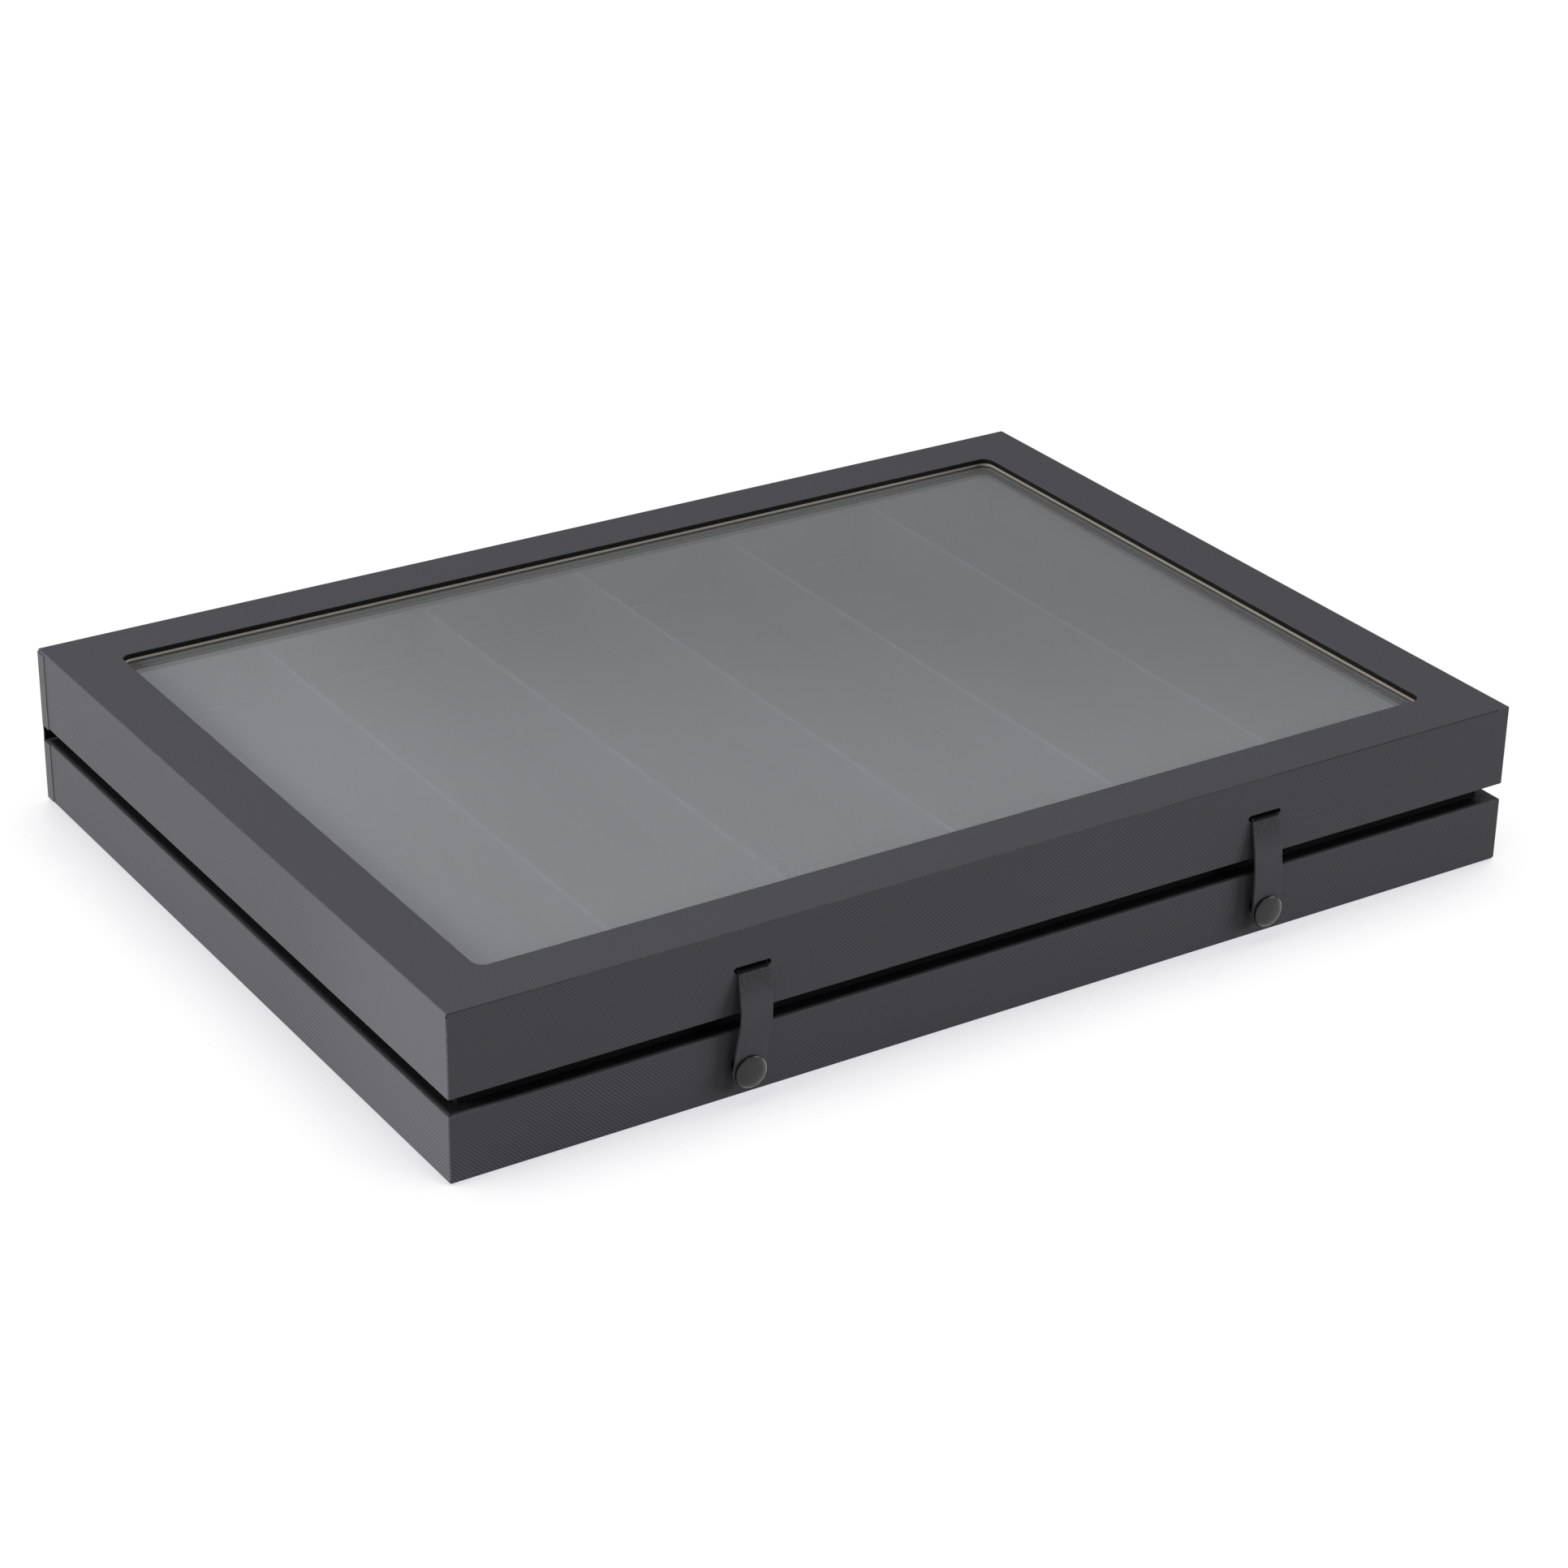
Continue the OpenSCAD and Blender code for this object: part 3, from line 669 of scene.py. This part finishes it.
def black_enamel(name, centre, side_end, rim):
    """Satin enamel on a cap, with painted shade down its side, a painted sheen towards the lower
    rim and a painted highlight on the rim there.
    """
    finish, tree, here = start_finish(name)
    x, y, z = split(tree, here)
    clouds = speckle(tree, here, 500, 3)
    tone = blend_colour(tree, clouds, (0.0105, 0.01, 0.01), (0.016, 0.0155, 0.0155))
    over, down = maths(tree, "SUBTRACT", x, centre[0]), maths(tree, "SUBTRACT", centre[1], z)
    out = maths(tree, "SQRT", maths(tree, "MULTIPLY_ADD", over, over,
                                    maths(tree, "MULTIPLY", down, down)))
    on_rim = both(tree, ramp(tree, out, rim - 0.42 * MM, rim - 0.25 * MM),
                  ramp(tree, y, side_end - 0.1 * MM, side_end, 1.0, 0.0))
    lower = ramp(tree, maths(tree, "ADD", over, down), -1.5 * MM, 3.5 * MM, 0.0, 1.0)
    # Painted sheen: the face is painted paler towards the lower rim
    painted_lower_sheen = both(tree, ramp(tree, out, rim - 1.9 * MM, rim - 0.2 * MM), lower, 0.8)
    tone = blend_colour(tree, painted_lower_sheen, tone, (0.085, 0.081, 0.078))
    wear_and_highlight_patches = ramp(tree, speckle(tree, here, 900, 3), 0.3, 0.6, 0.5, 1.0)
    # Painted highlight on the lower rim, broken up in patches
    tone = layer(tree, tone, (0.37, 0.365, 0.35), on_rim, lower, wear_and_highlight_patches)
    # Painted shade: the side of the cap is painted nearly black
    tone = blend_colour(tree, ramp(tree, y, side_end, side_end + 0.12 * MM), tone,
                        (0.002, 0.002, 0.002))
    surface(tree, Base_Color=tone, Roughness=ramp(tree, clouds, 0.25, 0.75, 0.2, 0.28),
            Specular_IOR_Level=0.42, Normal=relief(tree, speckle(tree, here, 6000, 3), 0.003 * MM))
    return finish


def dark_metal(name, colour, rough):
    """Blackened metal, satin, with a few fine scuffs."""
    finish, tree, here = start_finish(name)
    satin = speckle(tree, here, 6000, 3)
    clouds = speckle(tree, here, 500, 3)
    scuffs = ramp(tree, speckle(tree, here, 1400, 5, 0.7), 0.62, 0.75)
    tone = blend_colour(tree, clouds, toned(colour, 0.85), toned(colour, 1.15))
    tone = layer(tree, tone, toned(colour, 1.8), scuffs, 0.35)
    surface(tree, Base_Color=tone, Metallic=1.0,
            Roughness=ramp(tree, clouds, 0.25, 0.75, rough * 0.85, rough * 1.15),
            Normal=relief(tree, satin, 0.004 * MM))
    return finish


LID_COLOUR = (0.066, 0.0655, 0.0725)
BASE_COLOUR = (0.0635, 0.063, 0.07)
lid_low, lid_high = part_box("lid_wrap")
base_low, base_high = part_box("base_wrap")
FRONT = lid_low.y
CARD_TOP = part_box("glass_spacer")[1].z

lid_cloth = book_cloth("book_cloth_on_lid", lid_low, lid_high, LID_COLOUR, painted_light_left_front,
                       front_fold_painted_shade, corner_tuck_and_fold_shade, window_lining)
base_cloth = book_cloth("book_cloth_on_base", base_low, base_high, BASE_COLOUR, painted_light_left_front,
                        painted_ledge_shade)
neck_cloth = plain_cloth("neck_lining", (0.005, 0.005, 0.0055), 0.7, 0.03, 0.05)
hinge_cloth = plain_cloth("hinge_strip_cloth", (0.07, 0.0697, 0.0735), 0.5, 0.02,
                          cut_edge=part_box("hinge_leaf_lid")[0].y)
fold_low, fold_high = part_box("hinge_fold")
# The fold is painted paler than the strips, as painted light against the shade of the gap it sits
# in
fold_cloth = plain_cloth("hinge_fold_cloth", (0.085, 0.085, 0.089), 0.5, 0.02,
                         lined=(fold_high.x, fold_low.y + 0.08 * MM))
tray_lining = tray_paper("tray_lining_paper")
underside_paper = card("underside_lining_paper", (0.030, 0.030, 0.032), (0.042, 0.042, 0.045),
                       (0.06, 0.06, 0.062))
greyboard = card("grey_board", (0.22, 0.205, 0.18), (0.27, 0.255, 0.23), (0.12, 0.11, 0.10),
                 layers=0.9)
pad_card = card("filler_board", (0.34, 0.30, 0.24), (0.40, 0.36, 0.30), (0.20, 0.17, 0.13),
                layers=1.2)
cream_card = window_card("cream_mount_card")
# Painted shade: the board behind the slots is nearly black, as the shade inside them
shaded_slot_board = card("slot_board_painted_shade", (0.006, 0.006, 0.006), (0.010, 0.010, 0.010),
                  (0.02, 0.02, 0.02))
clear_glass = pane_glass("clear_float_glass")
strap_finish = strap_skin("strap_leatherette")
snap_steel = dark_metal("blackened_snap_steel", (0.07, 0.068, 0.066), 0.36)

BOARD_FINISH = {
    "greyboard": greyboard, "pad_card": pad_card, "cream_card": cream_card,
    "neck_cloth": neck_cloth, "hinge_cloth": hinge_cloth, "tray_lining": tray_lining,
    "underside_paper": underside_paper, "pane_glass": clear_glass,
    "strap_leather": strap_finish, "gunmetal": snap_steel, "snap_steel": snap_steel,
    "cover_cloth": base_cloth,
}
for name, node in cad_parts.items():
    for place in node.material_slots:
        place.material = BOARD_FINISH[place.material.name.split(".")[0]]
        # The lid's front board takes the painted shade of the strap slots
        if name == "lid_front_wall":
            place.material = shaded_slot_board


# The coverings

def middle_x(node):
    return sum(corner.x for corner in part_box(node)) / 2


STRAP_X = {side: middle_x("strap_tail_" + side) for side in SIDES}
SNAP_X = {side: middle_x("snap_cap_" + side) for side in SIDES}


def strap_slot_tool(side, behind, before):
    """A punch with round ends for a strap's slot, between two distances from the front."""
    centre = STRAP_X[side]
    low_z, high_z = (SLOT_Z - SLOT_H / 2) * MM, (SLOT_Z + SLOT_H / 2) * MM
    tool = block("slot_punch", (centre - SLOT_W / 2 * MM, FRONT - before * MM, low_z),
                 (centre + SLOT_W / 2 * MM, FRONT + behind * MM, high_z))
    open_up(tool)
    mark_edges(lambda edge: abs(edge.verts[0].co.y - edge.verts[1].co.y) > 0.1 * MM)
    round_edges((SLOT_H / 2 - 0.01) * MM, 6)
    close_up()
    return tool


def hole_tool(x, z, radius, near_out, far_out):
    """A round punch between two distances in front of the case."""
    return turn_up("hole_punch", x, z, [(near_out, radius), (far_out, radius)], 32)


def middle_face(way):
    """A test for the face in the middle of a covering that looks up, way 1, or down, -1."""
    return lambda face: (face.normal.z * way > 0.9
                         and face.calc_center_median().xy.length < 1 * MM)


def give_thickness(cover):
    finish_with(cover, "SOLIDIFY", thickness=CLOTH * MM, offset=-1, use_even_offset=True,
                use_quality_normals=True)


def make_lid_covering():
    """Cloth over the lid, down into the window and up inside its walls."""
    cover = block("lid_covering", lid_low, lid_high)
    open_up(cover)
    mark_faces(lambda face: face.normal.z > 0.9)
    bpy.ops.mesh.inset(thickness=WINDOW_END * MM)
    for way in (-1, 1):
        edge_x = way * (lid_high.x - WINDOW_END * MM)
        mark_edges(lambda edge: edge_at(edge, 0, edge_x))
        shift(x=-way * (WINDOW_SIDE - WINDOW_END) * MM)
    mark_faces(middle_face(1))
    pull(z=-WINDOW_EDGE * MM)
    bpy.ops.mesh.delete(type="FACE")
    mark_faces(lambda face: face.normal.z < -0.9)
    bpy.ops.mesh.inset(thickness=LEG_SIDE * MM)
    leg_y = lid_low.y + LEG_SIDE * MM
    mark_edges(lambda edge: edge_at(edge, 1, leg_y) and edge_at(edge, 2, lid_low.z))
    shift(y=-(LEG_SIDE - LEG_FRONT) * MM)
    mark_faces(middle_face(-1))
    pull(z=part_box("glass_stop_left")[0].z - lid_low.z)
    bpy.ops.mesh.delete(type="FACE")
    corner_x = lid_high.x - WINDOW_SIDE * MM
    mark_edges(lambda edge: near(abs(edge.verts[0].co.x), corner_x)
               and near(abs(edge.verts[1].co.x), corner_x)
               and abs(edge.verts[0].co.z - edge.verts[1].co.z) > 1 * MM)
    round_edges(WINDOW_R * MM, 7)
    mark_edges(sharp)
    round_edges(FOLD * MM, 3)
    close_up()
    give_thickness(cover)
    for side in SIDES:
        cut_out(cover, strap_slot_tool(side, behind=0.8, before=1))
    dress(cover)
    unfold(cover, lid_high.z)
    hand_over(cover, "lid", "cover_cloth", lid_cloth, "lid_wrap")


def make_base_covering():
    """Cloth over the base, in over the ledge and turned in underneath."""
    cover = block("base_covering", base_low, base_high)
    open_up(cover)
    for way, width in ((1, LEDGE), (-1, TURN_IN)):
        mark_faces(lambda face: face.normal.z * way > 0.9)
        bpy.ops.mesh.inset(thickness=width * MM)
        bpy.ops.mesh.delete(type="FACE")
    mark_edges(lambda edge: sharp(edge) and edge_at(edge, 2, base_low.z))
    round_edges(FOOT_FOLD * MM, 4)
    mark_edges(sharp)
    round_edges(FOLD * MM, 3)
    close_up()
    give_thickness(cover)
    for side in SIDES:
        cut_out(cover, hole_tool(SNAP_X[side], SNAP_Z * MM, POST_HOLE, near_out=-0.8, far_out=0.5))
    dress(cover)
    unfold(cover, base_high.z)
    hand_over(cover, "base", "cover_cloth", base_cloth, "base_wrap")


make_lid_covering()
make_base_covering()


# The hinge

def make_hinge_leaf(node, body):
    """A strip of cloth glued across the rear and a little way round both corners."""
    low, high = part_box(node)
    leaf = block(node + "_strip", low, high)
    open_up(leaf)
    mark_faces(lambda face: abs(face.normal.z) > 0.9 or face.normal.y < -0.9)
    bpy.ops.mesh.delete(type="FACE")
    mark_edges(sharp)
    round_edges((FOLD + HINGE_CLOTH) * MM, 4)
    close_up()
    finish_with(leaf, "SOLIDIFY", thickness=HINGE_CLOTH * MM, offset=-1, use_even_offset=True)
    dress(leaf)
    hand_over(leaf, body, "hinge_cloth", hinge_cloth, node)


def make_hinge_fold():
    """The free stretch of the hinge cloth, bowed a little way into the gap."""
    low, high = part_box("hinge_fold")
    fold = block("hinge_fold_strip", low, high)
    open_up(fold)
    bow, rows, columns = 0.1 * MM, 12, 40
    for row in range(1, rows):
        slice_at(2, low.z + (high.z - low.z) * row / rows)
    for column in range(1, columns):
        slice_at(0, low.x + (high.x - low.x) * column / columns)
    close_up()
    for vert in fold.data.vertices:
        share = (vert.co.z - low.z) / (high.z - low.z)
        # Two slow waves along the hinge, so that the bow isn't quite even
        wave = 1 + 0.12 * math.sin(vert.co.x * 61) + 0.08 * math.sin(vert.co.x * 143 + 1)
        vert.co.y -= bow * math.sin(math.pi * share) ** 2 * wave
    dress(fold)
    hand_over(fold, None, "hinge_cloth", fold_cloth, "hinge_fold")
    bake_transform(fold)


make_hinge_leaf("hinge_leaf_base", "base")
make_hinge_leaf("hinge_leaf_lid", "lid")
make_hinge_fold()


# The neck, the tray and the underside

for node in ["neck_" + place for place in AROUND]:
    hand_over(softened(node + "_strip", *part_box(node), 0.5 * MM), "base", "neck_cloth",
              neck_cloth, node)

TRAY_WALLS = [f"tray_{place}_wall" for place in AROUND]
PARTITIONS = [f"divider_{number}" for number in range(1, 6)]
for node in TRAY_WALLS + PARTITIONS:
    hand_over(softened(node + "_lined", *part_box(node), 0.35 * MM, 3), "base", "tray_lining",
              tray_lining, node)

hand_over(softened("tray_floor_lined", *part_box("tray_floor"), 0.2 * MM), "base", "tray_lining",
          tray_lining, "tray_floor")
hand_over(softened("underside_lining", *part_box("underside_sheet"), 0.12 * MM), "base",
          "underside_paper", underside_paper, "underside_sheet")


# The window: card, pane and the strips that hold it

def make_pane():
    """The pane, its sharp edges taken off with a stone."""
    pane = block("window_pane", *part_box("glass_pane"))
    finish_with(pane, "BEVEL", width=0.15 * MM, segments=1, limit_method="ANGLE")
    bpy.ops.object.shade_flat()
    hand_over(pane, "lid", "pane_glass", clear_glass, "glass_pane")


def make_stop(node):
    """A covered strip under the pane's edge, rebated where the pane lies in it."""
    low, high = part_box(node)
    pane_low, pane_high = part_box("glass_pane")
    room = 0.3 * MM
    stop = block(node + "_strip", low, (high.x, high.y, pane_low.z))
    open_up(stop)
    cuts = [(0, pane_low.x - room), (0, pane_high.x + room)]
    cuts += [(1, pane_low.y - room), (1, pane_high.y + room)]
    for axis, value in cuts:
        if low[axis] + 0.1 * MM < value < high[axis] - 0.1 * MM:
            slice_at(axis, value)

    def outside_pane(face):
        centre = face.calc_center_median()
        beside = abs(centre.x) > pane_high.x or abs(centre.y) > pane_high.y
        return face.normal.z > 0.9 and beside

    mark_faces(outside_pane)
    pull(z=high.z - pane_low.z)
    close_up()
    finish_with(stop, "BEVEL", width=0.18 * MM, segments=2, limit_method="ANGLE")
    dress(stop)
    hand_over(stop, "lid", "neck_cloth", neck_cloth, node)


make_pane()
for place in AROUND:
    make_stop("glass_stop_" + place)


# The straps

def strap_route(side):
    """The middle of the strap from its hidden tail to its end, as (y, z) in millimetres."""
    front, turn = FRONT / MM, STRAP_TURN
    # Down behind the front board, round into the slot, through it and round again
    route = [(TAIL_Y, TAIL_TOP - 0.5 * step) for step in range(17)]
    for step in range(7):
        angle = math.radians(15 * step)
        route.append((TAIL_Y - turn + turn * math.cos(angle),
                      SLOT_REST + turn - turn * math.sin(angle)))
    route += [(y, SLOT_REST) for y in (-126.1, -126.5, -126.9, -127.2)]
    for step in range(7):
        angle = math.radians(15 * step)
        route.append((front - turn * math.sin(angle), SLOT_REST - turn + turn * math.cos(angle)))
    # Down in front of the case, and straight past the snap
    flat_z = SNAP_Z + STRAP_W / 2
    steps = 46
    for step in range(1, steps + 1):
        z = SLOT_REST - turn + (flat_z - SLOT_REST + turn) * step / steps
        share = (SLOT_REST - z) / (SLOT_REST - flat_z)
        out = (SLOT_OUT + (SNAP_OUT - SLOT_OUT) * math.sin(math.pi / 2 * share)
               + BULGE[side] * math.sin(math.pi * share) ** 2)
        route.append((front - out, z))
    route += [(front - SNAP_OUT, flat_z - 0.5 * step) for step in range(1, 21)]
    # Each point moves towards its neighbours, twice, to smooth the corners
    for _ in range(2):
        route = [route[0]] + [tuple((a + 2 * b + c) / 4 for a, b, c in zip(*three))
                              for three in zip(route, route[1:], route[2:])] + [route[-1]]
    return route


def flat_band(name, marks):
    """The strap laid flat, round at its lower end and cut across at every mark on its route."""
    length = marks[-1]
    band = block(name, (-STRAP_W / 2 * MM, -STRAP_T / 2 * MM, 0),
                 (STRAP_W / 2 * MM, STRAP_T / 2 * MM, length * MM))
    open_up(band)
    mark_edges(lambda edge: edge_at(edge, 2, 0)
               and abs(edge.verts[0].co.y - edge.verts[1].co.y) > 0.1 * MM)
    round_edges((STRAP_W / 2 - 0.01) * MM, 12)
    mark_edges(sharp)
    round_edges(0.16 * MM, 2)
    for mark in marks[1:-1]:
        slice_at(2, (length - mark) * MM)
    for across in (-3.4, -1.7, 0, 1.7, 3.4):
        slice_at(0, across * MM)
    close_up()
    return band


def lay_on_route(band, side, route, marks):
    """Bends the flat strap along its route; its UV map keeps each point's flat place."""
    length = marks[-1]
    mouth = next(mark for mark, place in zip(marks, route) if place[0] <= FRONT / MM)
    mesh = band.data
    laid = [(vert.co.x / MM, vert.co.y / MM, length - vert.co.z / MM) for vert in mesh.vertices]
    sheet = mesh.uv_layers.active
    for face in mesh.polygons:
        for corner in face.loop_indices:
            across, _, down = laid[mesh.loops[corner].vertex_index]
            sheet.data[corner].uv = (across * MM, (down - mouth) * MM)
    for vert, (across, lift, down) in zip(mesh.vertices, laid):
        step = min(max(sum(mark <= down for mark in marks) - 1, 0), len(route) - 2)
        share = (down - marks[step]) / (marks[step + 1] - marks[step])
        before, after = route[max(step - 1, 0)], route[min(step + 2, len(route) - 1)]
        a, b = route[step], route[step + 1]
        y = a[0] + (b[0] - a[0]) * share
        z = a[1] + (b[1] - a[1]) * share
        start = Vector((b[0] - before[0], b[1] - before[1])).normalized()
        end = Vector((after[0] - a[0], after[1] - a[1])).normalized()
        run = start.lerp(end, share).normalized()
        lean = LEAN[side] * min(max((SLOT_REST - 1 - z) / (SLOT_REST - 1 - SNAP_Z), 0), 1)
        # lift is negative towards the strap's face, which ends up in front
        vert.co = (STRAP_X[side] + (across + lean) * MM,
                   (y - run.y * lift) * MM, (z + run.x * lift) * MM)


def make_strap(side):
    """One band of leatherette from behind the front board, out through the slot, to the snap."""
    route = strap_route(side)
    marks = [0.0]
    for a, b in zip(route, route[1:]):
        marks.append(marks[-1] + math.dist(a, b))
    strap = flat_band("strap_band_" + side, marks)
    lay_on_route(strap, side, route, marks)
    cut_out(strap, hole_tool(SNAP_X[side], SNAP_Z * MM, STEM_HOLE, near_out=2.4, far_out=4.6))
    open_up(strap)
    bpy.ops.mesh.select_all(action="SELECT")
    bpy.ops.mesh.normals_make_consistent(inside=False)
    close_up()
    dress(strap)
    hand_over(strap, None, "strap_leather", strap_finish, "strap_" + side, "strap_tail_" + side)
    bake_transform(strap)


def make_cap(side):
    """A flat crowned cap with a straight side and a rolled rim, on a stem through the strap."""
    low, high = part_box("snap_cap_" + side)
    back = (FRONT - high.y) / MM
    rim_out, crown = back + 1.0, (FRONT - low.y) / MM
    radius = (high.x - low.x) / 2 / MM
    side_out = rim_out + 0.72
    stem, roll = 1.5, 0.36
    profile = [(back, stem), (rim_out, stem), (rim_out, radius - 0.3),
               (rim_out + 0.1, radius - 0.12), (side_out, radius)]
    for step in range(1, 7):
        angle = math.radians(15 * step)
        profile.append((side_out + roll * math.sin(angle), radius - roll + roll * math.cos(angle)))
    shoulder_out, shoulder = profile[-1]
    steps = 10
    for step in range(1, steps + 1):
        # The last ring stays clear of the middle
        wide = shoulder * (1 - step / (steps + 0.4))
        out = shoulder_out + (crown - shoulder_out) * (1 - (wide / shoulder) ** 2)
        profile.append((out, wide))
    cap = turn_up("cap_dome_" + side, SNAP_X[side], SNAP_Z * MM, profile)
    dress(cap, 30)
    enamel = black_enamel("black_enamel_" + side, (SNAP_X[side], SNAP_Z * MM),
                          FRONT - side_out * MM, radius * MM)
    hand_over(cap, side + "_strap", "gunmetal", enamel, "snap_cap_" + side)


def make_socket(side):
    """The ring behind the strap whose open side takes the stud."""
    low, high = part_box("snap_socket_" + side)
    open_side, plate = (FRONT - high.y) / MM, (FRONT - low.y) / MM
    radius = (high.x - low.x) / 2 / MM
    profile = [(plate - 0.3, 2.1), (open_side + 0.5, 2.1), (open_side + 0.35, 1.95),
               (open_side + 0.15, 2.0), (open_side, 2.3), (open_side, radius - 0.7),
               (open_side + 0.12, radius - 0.4), (open_side + 0.5, radius - 0.15),
               (open_side + 0.75, radius), (plate - 0.12, radius), (plate, radius - 0.15)]
    socket = turn_up("socket_ring_" + side, SNAP_X[side], SNAP_Z * MM, profile)
    dress(socket, 35)
    hand_over(socket, side + "_strap", "snap_steel", snap_steel, "snap_socket_" + side)


def make_stud(side):
    """The stud on the base: a dished foot and a head with a waist."""
    low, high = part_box("snap_stud_" + side)
    foot, top = (FRONT - high.y) / MM, (FRONT - low.y) / MM
    radius = (high.x - low.x) / 2 / MM
    profile = [(foot, radius - 0.1), (foot + 0.12, radius), (foot + 0.3, radius - 0.05),
               (foot + 0.42, radius - 0.35), (foot + 0.36, radius - 0.9), (foot + 0.34, 2.2),
               (foot + 0.5, 1.62), (foot + 0.8, 1.55), (foot + 1.0, 1.74), (top - 0.28, 1.8),
               (top - 0.1, 1.66), (top, 1.35), (top, 0.7), (top - 0.15, 0.55), (top - 0.2, 0.2)]
    stud = turn_up("stud_" + side, SNAP_X[side], SNAP_Z * MM, profile)
    dress(stud, 35)
    hand_over(stud, "base", "snap_steel", snap_steel, "snap_stud_" + side)


for side in SIDES:
    make_strap(side)
    make_cap(side)
    make_socket(side)
    make_stud(side)


# The table, the light and the camera

def make_table():
    """A wide pale table, seen as white, with a painted contact shadow where the case stands close.
    """
    bpy.ops.object.select_all(action="DESELECT")
    just_under = -0.05 * MM
    bpy.ops.mesh.primitive_plane_add(size=12, location=(0, 0, just_under))
    table = settle(name_piece(bpy.context.object, "table"))
    finish, tree = new_finish("pale_table")
    paper = add(tree, "BsdfDiffuse", Color=(0.45, 0.45, 0.45, 1))
    # Painted shadow: ambient occlusion darkens the table's white near the case
    near_case = add(tree, "AmbientOcclusion", {"samples": 8}, Distance=0.044).outputs["AO"]
    shade = blend_colour(tree, ramp(tree, near_case, 0.5, 0.6), (0.79, 0.79, 0.82),
                         (0.96, 0.965, 0.975))
    shade = blend_colour(tree, ramp(tree, near_case, 0.6, 0.9), shade, (1.1, 1.1, 1.1))
    white = add(tree, "Emission", Color=shade, Strength=1.0)
    path = add(tree, "LightPath").outputs
    seen = maths(tree, "MAXIMUM", path["Is Camera Ray"],
                 maths(tree, "MAXIMUM", path["Is Glossy Ray"], path["Is Transmission Ray"]))
    share = maths(tree, "MULTIPLY", seen, 0.9)
    mix = add(tree, "MixShader", i0=share, i1=paper.outputs[0], i2=white.outputs[0])
    add(tree, "OutputMaterial", Surface=mix.outputs[0])
    table.data.materials.append(finish)


def make_room():
    """Plain soft light all round, seen as white.

    What glass and metal mirror of it is dimmer low down and in front, and brighter to the left.
    """
    world = bpy.data.worlds.new("studio")
    bpy.context.scene.world = world
    world.use_nodes = True
    tree = world.node_tree
    tree.nodes.clear()
    path = add(tree, "LightPath").outputs
    across, depth, height = split(tree, add(tree, "TexCoord").outputs["Generated"])
    low_sky = ramp(tree, height, 0.396, 0.448, 0.345, 0.62)
    mirrored = maths(tree, "ADD", low_sky, ramp(tree, height, 0.44, 0.50, 0.0, 0.13))
    mirrored = maths(tree, "ADD", mirrored, ramp(tree, across, 0.37, 0.44, 0.16, 0.0))
    mirrored = both(tree, mirrored, ramp(tree, depth, -0.45, -0.1, 0.3, 1.0))
    mirrored_light = add(tree, "Background", Color=(0.985, 1.0, 1.06, 1), Strength=mirrored)
    soft = add(tree, "Background", Color=(1.0, 1.0, 1.02, 1), Strength=0.32)
    white = add(tree, "Background", Color=(1, 1, 1, 1), Strength=1.0)
    shine = maths(tree, "MAXIMUM", path["Is Glossy Ray"], path["Is Transmission Ray"])
    first = add(tree, "MixShader", i0=shine, i1=soft.outputs[0], i2=mirrored_light.outputs[0])
    last = add(tree, "MixShader", i0=path["Is Camera Ray"], i1=first.outputs[0],
               i2=white.outputs[0])
    add(tree, "OutputWorld", Surface=last.outputs[0])


def make_lamp(name, place, aim, size, power):
    """A softbox that points from its place at what it lights."""
    bpy.ops.object.select_all(action="DESELECT")
    bpy.ops.object.light_add(type="AREA", location=place)
    lamp = name_piece(bpy.context.object, name)
    lamp.data.shape = "RECTANGLE"
    lamp.data.size, lamp.data.size_y = size
    lamp.data.energy = power
    lamp.rotation_euler = (Vector(aim) - Vector(place)).to_track_quat("-Z", "Y").to_euler()


def make_camera():
    """The photograph's camera: its heading, tilt and roll, and a lens with no shift."""
    heading, tilt, roll = (math.radians(angle) for angle in (33.0038, 26.3819, 0.9824))
    view = bpy.data.cameras.new("camera")
    view.sensor_width = 36
    view.lens = 90.8104
    view.clip_start = 0.01
    camera = bpy.data.objects.new("camera", view)
    bpy.context.scene.collection.objects.link(camera)
    turn = (Matrix.Rotation(-heading, 3, "Z") @ Matrix.Rotation(math.pi / 2 - tilt, 3, "X")
            @ Matrix.Rotation(roll, 3, "Z"))
    camera.rotation_euler = turn.to_euler()
    camera.location = (-0.5694284, -0.8867910, 0.5377869)
    bpy.context.scene.camera = camera


make_table()
make_room()
for name, place, aim, size, power in (
        ("left_softbox", (-1.65, 0.13, 0.56), (-0.05, 0.03, 0.03), (0.5, 0.8), 37.5),
        ("right_softbox", (2.4, -1.95, 1.0), (0, -0.1, 0.03), (1.8, 1.1), 57),
        ("front_softbox", (0.08, -1.01, 1.34), (-0.02, -0.1, 0.03), (0.3, 0.2), 3.5)):
    make_lamp(name, place, aim, size, power)
make_camera()
bpy.context.scene.view_settings.view_transform = "Standard"
